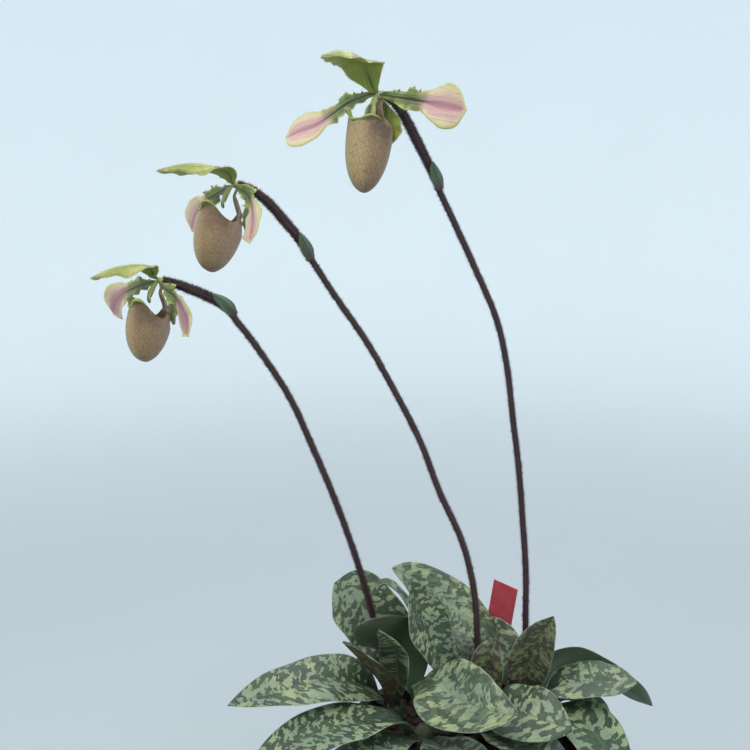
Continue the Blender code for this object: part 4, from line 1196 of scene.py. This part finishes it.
def back_hairs(surface, dice, count):
    """Short down over a sepal's outer side."""
    rows, columns = surface.shape[:2]
    i = dice.integers(1, rows - 2, count)
    j = dice.integers(1, columns - 1, count)
    t = dice.random(count)[:, None]
    normal = surface_normals(surface)[i, j]
    feet = surface[i, j] * (1 - t) + surface[i + 1, j] * t - normal * PETAL_THICKNESS * 0.35
    ways = -normal + dice.normal(0, 0.3, (count, 3))
    length, thickness = DOWN_HAIR
    return needle_skin(feet, ways, length * dice.uniform(0.5, 1.2, count), thickness)


def ball_skin(centre, radius, sides=10, rings=6):
    """A small round lump."""
    points = [centre + UP * radius]
    for i in range(1, rings):
        a = math.pi * i / rings
        for k in range(sides):
            b = math.tau * k / sides
            way = np.array([math.sin(a) * math.cos(b), math.sin(a) * math.sin(b), math.cos(a)])
            points.append(centre + radius * way)
    points.append(centre - UP * radius)
    faces = fan_faces(0, 1, sides) + ring_faces(rings - 1, sides, 1)
    faces += fan_faces(len(points) - 1, 1 + (rings - 2) * sides, sides, flipped=True)
    return Skin(points, faces)


def turning_side(turns, count):
    """The way to the right edge of a blade that turns to the left from its base to its tip."""
    turn = np.radians(base_to_tip(turns, np.linspace(-0.3, 1.9, count)))
    return np.stack([np.cos(turn), -np.sin(turn), np.zeros(count)], axis=1)


def add_sepal(name, points, width, shape, side, fold, centre, finishes):
    """A sepal, with down over its back and hairs along its edges."""
    dice = dice_for(name)
    share = np.linspace(0, 1, PETAL_ROWS)
    across = spread_across(PETAL_COLUMNS)
    route = smooth_route(points, PETAL_ROWS)
    half_width = width / 2 * outline(shape, share) * round_end(share, 0.96)
    folds = np.interp(share, FOLD_PLACES, fold)
    surface = blade_surface(route, half_width, side, np.zeros(PETAL_ROWS), folds, across)
    swing = ripple(random.Random(name), share, across, SEPAL_RIPPLE, 2.5)
    swing *= smoothstep(share * 4)[:, None]
    surface = surface + surface_normals(surface) * swing[..., None]
    whole, half_width = reach_in(surface, half_width, centre)
    skin = blade_skin(whole, across, half_width, gaps(route).sum(), PETAL_THICKNESS,
                      dice.uniform(0, 90))
    make_piece(name + "_blade", [skin], finishes["sepal"], "sepal", name)
    down = [back_hairs(surface, dice, SEPAL_DOWN)]
    down += [edge_hairs(surface, edge, dice, SEPAL_EDGE_HAIRS, EDGE_HAIR, 0.1, 1) for edge in (0, -1)]
    make_piece(name + "_hairs", down, finishes["down"], "sepal", smooth=False)


def add_petal(name, points, width, faces, upper_side, centre, finishes, finish):
    """A petal whose inner face turns from faces[0] at its claw to faces[1] at its end."""
    dice = dice_for(name)
    share = np.linspace(0, 1, PETAL_ROWS)
    across = spread_across(PETAL_COLUMNS)
    route = smooth_route(points, PETAL_ROWS)
    first, last = np.array(faces, float)
    face = first + (last - first) * smoothstep(share)[:, None]
    side = np.cross(unit(np.gradient(route, axis=0)), face)
    half_width = width / 2 * outline(PETAL_OUTLINE, share) * round_end(share, 0.93)
    surface = blade_surface(route, half_width, side, np.zeros(PETAL_ROWS),
                            np.full(PETAL_ROWS, PETAL_FOLD), across)
    near = (smoothstep(share * 8) * (1 - smoothstep((share - 0.4) / 0.25)))[:, None]
    frill = ripple(random.Random(name), share, across, FRILL, 5.5) * near
    wave = ripple(random.Random(name + "outer"), share, across, 0.35, 2)
    swing = frill + wave * (1 - near) * smoothstep(share * 4)[:, None]
    surface = surface + surface_normals(surface) * swing[..., None]
    whole, half_width = reach_in(surface, half_width, centre)
    skin = blade_skin(whole, across, half_width, gaps(route).sum(), PETAL_THICKNESS,
                      dice.uniform(0, 90), flip=upper_side)
    make_piece(name + "_blade", [skin], finish, "petal", name)
    hairs = [edge_hairs(surface, edge, dice, PETAL_EDGE_HAIRS, EDGE_HAIR, 0.05, 0.98)
             for edge in (0, -1)]
    column = -1 if upper_side > 0 else 0
    warts = []
    for place in WART_PLACES:
        row = int((place + dice.uniform(-0.02, 0.02)) * PETAL_ROWS)
        wart = surface[row, column]
        warts.append(ball_skin(wart, dice.uniform(*WART_RADII)))
        outward = unit(wart - surface[row, column // 2 - 2 if column else 3])
        ways = outward + dice.normal(0, 0.5, (BRISTLE_COUNT, 3))
        warts.append(needle_skin(np.tile(wart, (BRISTLE_COUNT, 1)), ways,
                                 dice.uniform(*BRISTLE_LENGTHS, BRISTLE_COUNT), BRISTLE_THICKNESS))
    make_piece(name + "_warts", warts, finishes["wart"], "petal")
    make_piece(name + "_hairs", hairs, finishes["down"], "petal", smooth=False)


def pouch_profile(rows):
    """Girth and share of the drop, from the rim round to the toe."""
    ends = [(g, s, 0) for s, g in POUCH_GIRTH]
    mirrored = ends + [(0, 1, 0)] + [(-g, s, 0) for s, g in reversed(POUCH_GIRTH[-2:])]
    fine = smooth_route(mirrored, 400)
    fine = fine[:int(np.argmax(fine[:, 0] <= 0.0))]
    along = distance_along(fine[:, :2])
    wanted = np.linspace(0, along[-1], rows)
    return np.interp(wanted, along, fine[:, 0]), np.interp(wanted, along, fine[:, 1])


def pouch_back(shape, drop):
    """How far in front of the ovary's end the pouch's back stands, a given drop below it."""
    share = np.clip((drop - RIM_TO_FLOWER) / shape["drop"], 0, 1)
    girth = at_shares(POUCH_GIRTH, share)
    return shape["ahead"] + shape["lean"] * share - POUCH_BACK * shape["half_depth"] * girth


def ear_at(from_front):
    """1 at the two ears beside the front of a pouch's rim, and 0 away from them."""
    return smoothstep((from_front - 10) / 35) * (1 - smoothstep((from_front - 45) / 32))


def pouch_rows(joint, front, right, shape, ears, angles, from_front):
    """Rings of points from the wavy rim down to the toe."""
    above_zero = 20
    heights = [(place, height + above_zero) for place, height in RIM_HEIGHTS]
    rim = outline(heights, from_front) - above_zero
    rim = rim + ear_at(from_front) * np.where(angles < math.pi, ears[1], ears[0])
    bow = 0.6 * np.maximum(rim + 2, 0) * smoothstep((from_front - 110) / 30)
    rows = []
    for girth, share in zip(*pouch_profile(POUCH_ROWS)):
        centre = (joint + front * (shape["ahead"] + shape["lean"] * share)
                  - UP * (RIM_TO_FLOWER + shape["drop"] * share))
        waist = 1 - 0.4 * smoothstep((from_front - 120) / 40) * (1 - smoothstep(share / 0.12))
        keep = max(0.0, 1 - share / 0.45) ** 1.15
        reach = shape["half_depth"] * girth * np.where(np.cos(angles) > 0, 1, POUCH_BACK)
        rows.append(centre
                    + right * (np.sin(angles) * shape["half_width"] * girth * waist)[:, None]
                    + front * (np.cos(angles) * reach + bow * keep)[:, None]
                    + UP * (rim * keep)[:, None])
    return np.array(rows)


def lip_rows(rim, front, right, angles, from_front, seed):
    """The rim rolled over outward, most at the front, from its free edge back to the slipper."""
    out = unit(right * np.sin(angles)[:, None] + front * np.cos(angles)[:, None])
    roll = 0.14 + 0.8 * (1 - smoothstep((from_front - 30) / 45)) + 1.1 * ear_at(from_front)
    wave = 1 + 0.2 * np.sin(angles * 9 + seed)
    rows = []
    for k in range(LIP_ROWS, 0, -1):
        turn = math.radians(LIP_TURN) * k / LIP_ROWS
        curl = (out * (roll * wave * (1 - math.cos(turn)))[:, None]
                + UP * (roll * math.sin(turn))[:, None])
        rows.append(rim + curl)
    return rows


def slipper_skin(rings, shape, angles, from_front, seed):
    """The slipper from its lip to a point at its toe. share holds how far to the front each point
    lies, how far down, and how far it is rolled over."""
    girths, shares = pouch_profile(POUCH_ROWS)
    count = len(rings)
    down = np.concatenate([np.zeros(LIP_ROWS), shares])
    rolled = np.concatenate([np.arange(LIP_ROWS, 0, -1) / LIP_ROWS, np.zeros(len(shares))])
    rolled[LIP_ROWS:LIP_ROWS + 2] = (0.3, 0.12)
    points = np.vstack([rings[:-1].reshape(-1, 3), rings[-1].mean(axis=0)])
    toe = len(points) - 1
    last = (count - 2) * POUCH_SIDES
    faces = ring_faces(count - 1, POUCH_SIDES, flipped=True)
    faces += [(last + j, last + (j + 1) % POUCH_SIDES, toe) for j in range(POUCH_SIDES)]
    half_girth = np.where(angles > math.pi, angles - math.tau, angles) * shape["half_width"]
    scale = np.concatenate([np.full(LIP_ROWS, girths[0]), girths])
    front_only = 1 - smoothstep((from_front - 50) / 30)
    all_round = np.ones(POUCH_SIDES)
    place = np.stack([np.outer(scale, half_girth), np.outer(down * shape["drop"], all_round),
                      np.full((count, POUCH_SIDES), seed)], axis=2)[:-1].reshape(-1, 3)
    share = np.stack([np.outer(np.ones(count), np.cos(angles)), np.outer(down, all_round),
                      np.outer(rolled, front_only)], axis=2)[:-1].reshape(-1, 3)
    return Skin(points, faces, np.vstack([place, [[0, shape["drop"], seed]]]),
                np.vstack([share, [[0, 1, 0]]]))


def claw_skin(rows, joint, front, right, shape, seed):
    """The strap that runs from the slipper's back up to the flower's centre."""
    back = POUCH_SIDES // 2
    route = smooth_route([rows[5][back], rows[0][back] - UP, joint - front * 1.2 - UP * 2, joint],
                         CLAW_ROWS)
    across = spread_across(CLAW_COLUMNS)
    half_width = shape["half_width"] * at_shares(CLAW_TAPER, np.linspace(0, 1, CLAW_ROWS))
    surface = blade_surface(route, half_width, np.tile(right, (CLAW_ROWS, 1)), np.zeros(CLAW_ROWS),
                            np.full(CLAW_ROWS, CLAW_FOLD), across)
    claw = blade_skin(surface, across, half_width, shape["drop"] * 0.3, POUCH_WALL, seed)
    claw.share[:] = (-1, 0.15, 0)
    return claw


def add_pouch(name, joint, front, right, shape, ears, finish, seed):
    """The slipper, with a wavy rim that rolls outward in front, and the claw that holds it."""
    angles = round_angles(POUCH_SIDES)
    from_front = np.degrees(np.minimum(angles, math.tau - angles))
    rows = pouch_rows(joint, front, right, shape, ears, angles, from_front)
    lip = lip_rows(rows[0], front, right, angles, from_front, seed)
    skin = slipper_skin(np.concatenate([lip, rows]), shape, angles, from_front, seed)
    piece = make_piece(name + "_slipper", [skin], finish, "pouch", name)
    wall = piece.modifiers.new("wall", "SOLIDIFY")
    wall.thickness = POUCH_WALL * MM
    wall.offset = -1
    claw = claw_skin(rows, joint, front, right, shape, seed)
    make_piece(name + "_claw", [claw], finish, "pouch")


def add_column(name, joint, front, right, size, finish):
    """The column and the notched shield at its end, with a raised rim and a boss."""
    def hanging(pairs, rows):
        return smooth_route([joint + (front * f - UP * d) * size for f, d in pairs], rows)

    route = hanging(COLUMN_ROUTE, COLUMN_ROWS)
    radius = at_shares(COLUMN_RADII, np.linspace(0, 1, COLUMN_ROWS)) * size
    stem = loft_skin(route, tube_rings(route, radius, 24, right))
    stem.share[:, 2] = 0
    across = spread_across(SHIELD_COLUMNS)
    share = np.linspace(0, 1, SHIELD_ROWS)
    half_width = SHIELD_HALF_WIDTH * size * outline(SHIELD_OUTLINE, share) * round_end(share, 0.85)
    surface = blade_surface(hanging(SHIELD_ROUTE, SHIELD_ROWS), half_width,
                            np.tile(right, (SHIELD_ROWS, 1)), np.zeros(SHIELD_ROWS),
                            np.full(SHIELD_ROWS, SHIELD_FOLD), across)
    rim = np.exp(-((np.abs(across)[None, :] - 0.86) / 0.14) ** 2) * 0.35
    boss = np.exp(-(across[None, :] / 0.25) ** 2 - ((share[:, None] - 0.45) / 0.16) ** 2) * 0.7
    surface = surface + surface_normals(surface) * (rim + boss)[..., None]
    shield = blade_skin(surface, across, half_width, SHIELD_LENGTH * size, SHIELD_THICKNESS, 5.0)
    shield.share[:, 2] = 1
    make_piece(name + "_shield", [stem, shield], finish, "column", name)


def add_bract(name, ovary, finishes):
    """The sheath on the ovary's foot: a folded blade that lies along the ovary's upper side."""
    along = smooth_route(ovary, 401)
    share = np.linspace(0, 1, BRACT_ROWS)
    across = spread_across(BRACT_COLUMNS)
    places = np.round(share * BRACT_LENGTH / gaps(along).sum() * 400).astype(int)
    tangent = unit(np.gradient(along, axis=0))[places]
    outward = unit(BRACT_SIDE - tangent * (tangent @ BRACT_SIDE)[:, None])
    route = along[places] + outward * at_shares(BRACT_STAND, share)[:, None]
    half_width = BRACT_WIDTH / 2 * outline(BRACT_OUTLINE, share) * round_end(share, 0.95)
    surface = blade_surface(route, half_width, np.cross(tangent, -outward), np.zeros(BRACT_ROWS),
                            np.full(BRACT_ROWS, BRACT_FOLD), across)
    dice = dice_for(name)
    skin = blade_skin(surface, across, half_width, BRACT_LENGTH, PETAL_THICKNESS, dice.uniform(0, 90))
    make_piece(name + "_sheath", [skin], finishes["bract"], "bract", name)
    hairs = [edge_hairs(surface, edge, dice, BRACT_EDGE_HAIRS, BRACT_HAIR, 0, 1) for edge in (0, -1)]
    make_piece(name + "_hairs", hairs, finishes["down"], "bract", smooth=False)


def add_flower(name, flower, finishes):
    """A flower's parts, all hung from a joint just in front of its ovary's end."""
    turn = math.radians(flower["facing"])
    front = np.array([-math.sin(turn), -math.cos(turn), 0.0])
    right = np.array([math.cos(turn), -math.sin(turn), 0.0])
    size = flower["size"]
    joint = np.asarray(flower["ovary"][-1], float) + front * 1.5
    add_stalk("ovary_" + name, flower["ovary"], OVARY_RADII, 60, 6, 0.09, OVARY_HAIRS, finishes)
    add_bract("bract_" + name, flower["ovary"], finishes)
    add_sepal("dorsal_sepal_" + name, flower["dorsal"], flower["dorsal_width"], DORSAL_OUTLINE,
              turning_side(flower["dorsal_turn"], PETAL_ROWS), DORSAL_FOLDS, joint, finishes)
    behind_pouch = [joint + front * (pouch_back(flower["pouch"], drop) - 2.2) - UP * drop
                    for drop in (5.5, 11 * size, 18 * size, 26 * size)]
    add_sepal("synsepal_" + name, behind_pouch, SYNSEPAL_WIDTH * size, SYNSEPAL_OUTLINE,
              np.tile(-right, (PETAL_ROWS, 1)), SYNSEPAL_FOLDS, joint, finishes)
    for side, width, upper_side in zip(("left", "right"), flower["petal_widths"], (1, -1)):
        add_petal("petal_" + side + "_" + name, flower["petal_" + side], width,
                  flower[side + "_face"], upper_side, joint, finishes, finishes["petal_" + name])
    add_pouch("pouch_" + name, joint, front, right, flower["pouch"], flower["ears"],
              finishes["pouch"], flower["facing"] * 0.7)
    add_column("column_" + name, joint, front, right, size, finishes["column"])
    heart = ball_skin(joint - front * 0.4, HEART_RADIUS * size, 24, 14)
    make_piece("heart_" + name, [heart], finishes["column"], "column")


def turned_skin(profile, steps):
    """A solid turned from a profile of radius and height that starts and ends on the axis."""
    inner = profile[1:-1]
    points = [(0, 0, profile[0][1])]
    points += [(r * math.cos(a), r * math.sin(a), z) for r, z in inner for a in round_angles(steps)]
    points.append((0, 0, profile[-1][1]))
    faces = fan_faces(0, 1, steps, flipped=True) + ring_faces(len(inner), steps, 1, flipped=True)
    faces += fan_faces(len(points) - 1, 1 + (len(inner) - 1) * steps, steps)
    return Skin(points, faces)


def add_pot(finish):
    """The pot as a turned profile with rounded bands, and its drain holes."""
    under_band = POT_HEIGHT - RIM_BAND_HEIGHT
    wall = [(POT_FOOT_RADIUS + POT_SLOPE * z, z) for z in np.linspace(4, under_band - 1.2, 24)]
    bead = [(POT_RIM_RADIUS - 1.1 + 1.1 * math.sin(a), POT_HEIGHT - 1.1 + 1.1 * math.cos(a))
            for a in np.radians([90, 70, 50, 30, 10, -10, -35])]
    inside = POT_FOOT_RADIUS - POT_WALL
    profile = [(0, 0), (POT_FOOT_RADIUS - 9, 0), (POT_FOOT_RADIUS - 8, 1.0), (POT_FOOT_RADIUS - 5, 1.0),
               (POT_FOOT_RADIUS - 4, 0), (POT_FOOT_RADIUS - 1.6, 0), (POT_FOOT_RADIUS - 0.4, 0.7),
               (POT_FOOT_RADIUS, 2.2), *wall, (POT_RIM_RADIUS - 1.4, under_band - 0.2),
               (POT_RIM_RADIUS - 0.4, under_band + 0.3), (POT_RIM_RADIUS, under_band + 1.4),
               (POT_RIM_RADIUS, under_band + 3.6), (POT_RIM_RADIUS - 0.35, under_band + 4.0),
               (POT_RIM_RADIUS - 0.35, under_band + 4.6), (POT_RIM_RADIUS, under_band + 5.0), *bead,
               (inside + POT_SLOPE * (POT_HEIGHT - 1.5), POT_HEIGHT - 1.5), (inside + POT_SLOPE * 60, 60),
               (inside + POT_SLOPE * POT_FLOOR, POT_FLOOR), (0, POT_FLOOR)]
    pot = make_piece("pot_shell", [turned_skin(profile, POT_STEPS)], finish, "pot", "pot")
    holes = []
    for a in round_angles(DRAIN_COUNT):
        route = np.array([(DRAIN_CIRCLE * math.cos(a), DRAIN_CIRCLE * math.sin(a), z) for z in (-4.0, 6.0)])
        holes.append(loft_skin(route, tube_rings(route, [DRAIN_RADIUS] * 2, 32, np.array([1.0, 0, 0]))))
    cutter = make_piece("drain_holes", holes, finish, "pot")
    cut = pot.modifiers.new("drain holes", "BOOLEAN")
    cut.operation = "DIFFERENCE"
    cut.solver = "MANIFOLD"
    cut.object = cutter
    bpy.context.view_layer.update()
    cut_mesh = bpy.data.meshes.new_from_object(pot.evaluated_get(bpy.context.evaluated_depsgraph_get()))
    pot.modifiers.clear()
    pot.data = cut_mesh
    bpy.data.objects.remove(cutter)
    crease = pot.modifiers.new("crease", "EDGE_SPLIT")
    crease.split_angle = math.radians(40)


def chip_skin(dice, centre, size, turn, tilt):
    """A chip of bark: a block with worn corners and a rough skin."""
    steps = 4
    grid = np.linspace(-1, 1, steps)
    points, faces, index = [], [], {}
    lumps = [(dice.normal(0, 1, 3), dice.uniform(0, math.tau)) for _ in range(5)]

    def corner(p):
        key = tuple(np.round(p, 4))
        if key not in index:
            index[key] = len(points)
            v = np.array(p) * (1 - 0.16 * (np.sort(np.abs(p))[1] ** 2))
            swell = sum(math.sin(v @ way * 1.7 + phase) for way, phase in lumps) * 0.05
            points.append(v * (1 + swell))
        return index[key]

    for axis in range(3):
        for sign in (-1, 1):
            for i in range(steps - 1):
                for j in range(steps - 1):
                    ring = []
                    for a, b in ((i, j), (i + 1, j), (i + 1, j + 1), (i, j + 1)):
                        p = np.zeros(3)
                        p[axis] = sign
                        p[(axis + 1) % 3] = grid[a]
                        p[(axis + 2) % 3] = grid[b]
                        ring.append(corner(p))
                    faces.append(tuple(ring if sign > 0 else reversed(ring)))
    points = np.array(points) * size
    c, s = math.cos(tilt), math.sin(tilt)
    points = points @ np.array([[c, 0, s], [0, 1, 0], [-s, 0, c]]).T
    c, s = math.cos(turn), math.sin(turn)
    points = points @ np.array([[c, -s, 0], [s, c, 0], [0, 0, 1]]).T
    return Skin(points + centre, faces)


def add_bark(finish):
    """The bark mix: a plug that fills the pot, with chips lying over its top."""
    dice = np.random.default_rng(11)
    rings = [(r, BARK_BOTTOM) for r in (0, 20, BARK_FOOT_RADIUS)]
    rings += [(BARK_FOOT_RADIUS + POT_SLOPE * z, z) for z in (20, 50, 80, BARK_TOP - 2)]
    rings += [(BARK_RADIUS * s, BARK_TOP - 0.5) for s in (0.98, 0.8, 0.5, 0.2)] + [(0, BARK_TOP - 0.5)]
    skins = [turned_skin(rings, 72)]
    for _ in range(CHIP_COUNT):
        reach = (BARK_RADIUS - 5.5) * math.sqrt(dice.random())
        angle = dice.uniform(0, math.tau)
        size = np.array([dice.uniform(*limits) for limits in CHIP_HALF_SIZES])
        centre = np.array([reach * math.cos(angle), reach * math.sin(angle),
                           BARK_TOP + dice.uniform(-0.6, 2.6)])
        skins.append(chip_skin(dice, centre, size, dice.uniform(0, math.pi), dice.uniform(-0.5, 0.5)))
    make_piece("bark_chips", skins, finish, "bark", "bark_mix")


def add_label(finish):
    """A blank plant label: a flat strip with a sloping top, and a narrower stake in the bark."""
    half, stake, thick = LABEL_WIDTH / 2, LABEL_STAKE_WIDTH / 2, LABEL_THICKNESS / 2
    sides = [(-stake, LABEL_FOOT + 6), (0, LABEL_FOOT), (stake, LABEL_FOOT + 6), (stake, LABEL_SHOULDER - 8),
             (half, LABEL_SHOULDER), (half, LABEL_TOP[1]), (-half, LABEL_TOP[0]), (-half, LABEL_SHOULDER),
             (-stake, LABEL_SHOULDER - 8)]
    turn = math.radians(LABEL_TURN)
    points = []
    for y in (-thick, thick):
        for along, z in sides:
            lean = (z - LABEL_FOOT) * LABEL_LEAN
            x = along + max(0, z - LABEL_NECK) * LABEL_SLANT
            points.append((LABEL_FOOT_PLACE[0] + x * math.cos(turn) - y * math.sin(turn),
                           LABEL_FOOT_PLACE[1] + lean + x * math.sin(turn) + y * math.cos(turn), z))
    n = len(sides)
    faces = [tuple(range(n)), tuple(reversed(range(n, 2 * n)))]
    faces += [((k + 1) % n, k, n + k, n + (k + 1) % n) for k in range(n)]
    label = make_piece("label_blank", [Skin(points, faces)], finish, "label", "label", smooth=False)
    rounding = label.modifiers.new("rounding", "BEVEL")
    rounding.width = LABEL_ROUNDING * MM
    rounding.segments = 3
    rounding.harden_normals = False


# Stage

def add_stage():
    """A pale floor that sweeps up into a low wall all round."""
    profile = [(r, 0) for r in (1, 300, 900, FLOOR_REACH)]
    profile += [(FLOOR_REACH + SWEEP_RADIUS * math.sin(a), SWEEP_RADIUS * (1 - math.cos(a)))
                for a in np.radians(range(6, 91, 6))]
    profile.append((FLOOR_REACH + SWEEP_RADIUS, WALL_TOP))
    points = [(r * math.cos(a), r * math.sin(a), z)
              for r, z in profile for a in round_angles(FLOOR_STEPS)]
    faces = [tuple(range(FLOOR_STEPS))] + ring_faces(len(profile), FLOOR_STEPS)
    mesh = bpy.data.meshes.new("floor")
    mesh.from_pydata((np.array(points) * MM).tolist(), [], faces)
    mesh.polygons.foreach_set("use_smooth", [True] * len(mesh.polygons))
    mesh.materials.append(floor_finish())
    floor = bpy.data.objects.new("floor", mesh)
    bpy.context.scene.collection.objects.link(floor)


def add_light(name, place, aim, size, power, colour):
    lamp = bpy.data.lights.new(name, "AREA")
    lamp.shape = "DISK"
    lamp.size = size
    lamp.energy = power
    lamp.color = colour
    holder = bpy.data.objects.new(name, lamp)
    holder.location = np.array(place) * MM
    way = Vector(np.subtract(aim, place))
    holder.rotation_euler = way.to_track_quat("-Z", "Y").to_euler()
    bpy.context.scene.collection.objects.link(holder)


def light_studio():
    world = bpy.data.worlds.new("studio")
    world.use_nodes = True
    sky = world.node_tree.nodes["Background"]
    sky.inputs["Color"].default_value = (0.87, 0.95, 1.0, 1)
    sky.inputs["Strength"].default_value = 0.95
    bpy.context.scene.world = world
    bpy.context.scene.view_settings.view_transform = "Standard"
    middle = (-30, 0, 250)
    add_light("window", (-350, -450, 1100), middle, size=0.7, power=6.5, colour=(1.0, 0.98, 0.95))
    add_light("fill", (600, -600, 700), middle, size=0.8, power=1.2, colour=(0.9, 0.95, 1.0))
    add_light("back", (150, 600, 1000), middle, size=0.7, power=2.5, colour=(1.0, 1.0, 1.0))


def photograph_camera():
    lens = bpy.data.cameras.new("camera")
    lens.lens = CAMERA_LENS
    lens.sensor_width = CAMERA_SENSOR
    lens.clip_start = 0.01
    camera = bpy.data.objects.new("camera", lens)
    camera.location = np.array(CAMERA_PLACE) * MM
    camera.rotation_euler = (math.radians(CAMERA_PITCH), 0, 0)
    bpy.context.scene.collection.objects.link(camera)
    bpy.context.scene.camera = camera


def main():
    finishes = make_finishes()
    add_pot(pot_finish())
    add_bark(bark_finish())
    add_label(label_finish())
    crown = crown_finish()
    for name, place in CROWNS.items():
        add_crown(name, place, crown)
    for name, row in LEAVES.items():
        add_leaf(name, row, finishes)
    for (name, route), flower in zip(SCAPES.items(), FLOWERS.values()):
        foot, above = np.array(flower["ovary"][:2], float)
        add_stalk(name, route + [foot + (above - foot) * 0.15], SCAPE_RADII, 160, 8, 0.03,
                  SCAPE_HAIRS, finishes)
    for name, flower in FLOWERS.items():
        add_flower(name, flower, finishes)
    add_stage()
    light_studio()
    photograph_camera()


main()
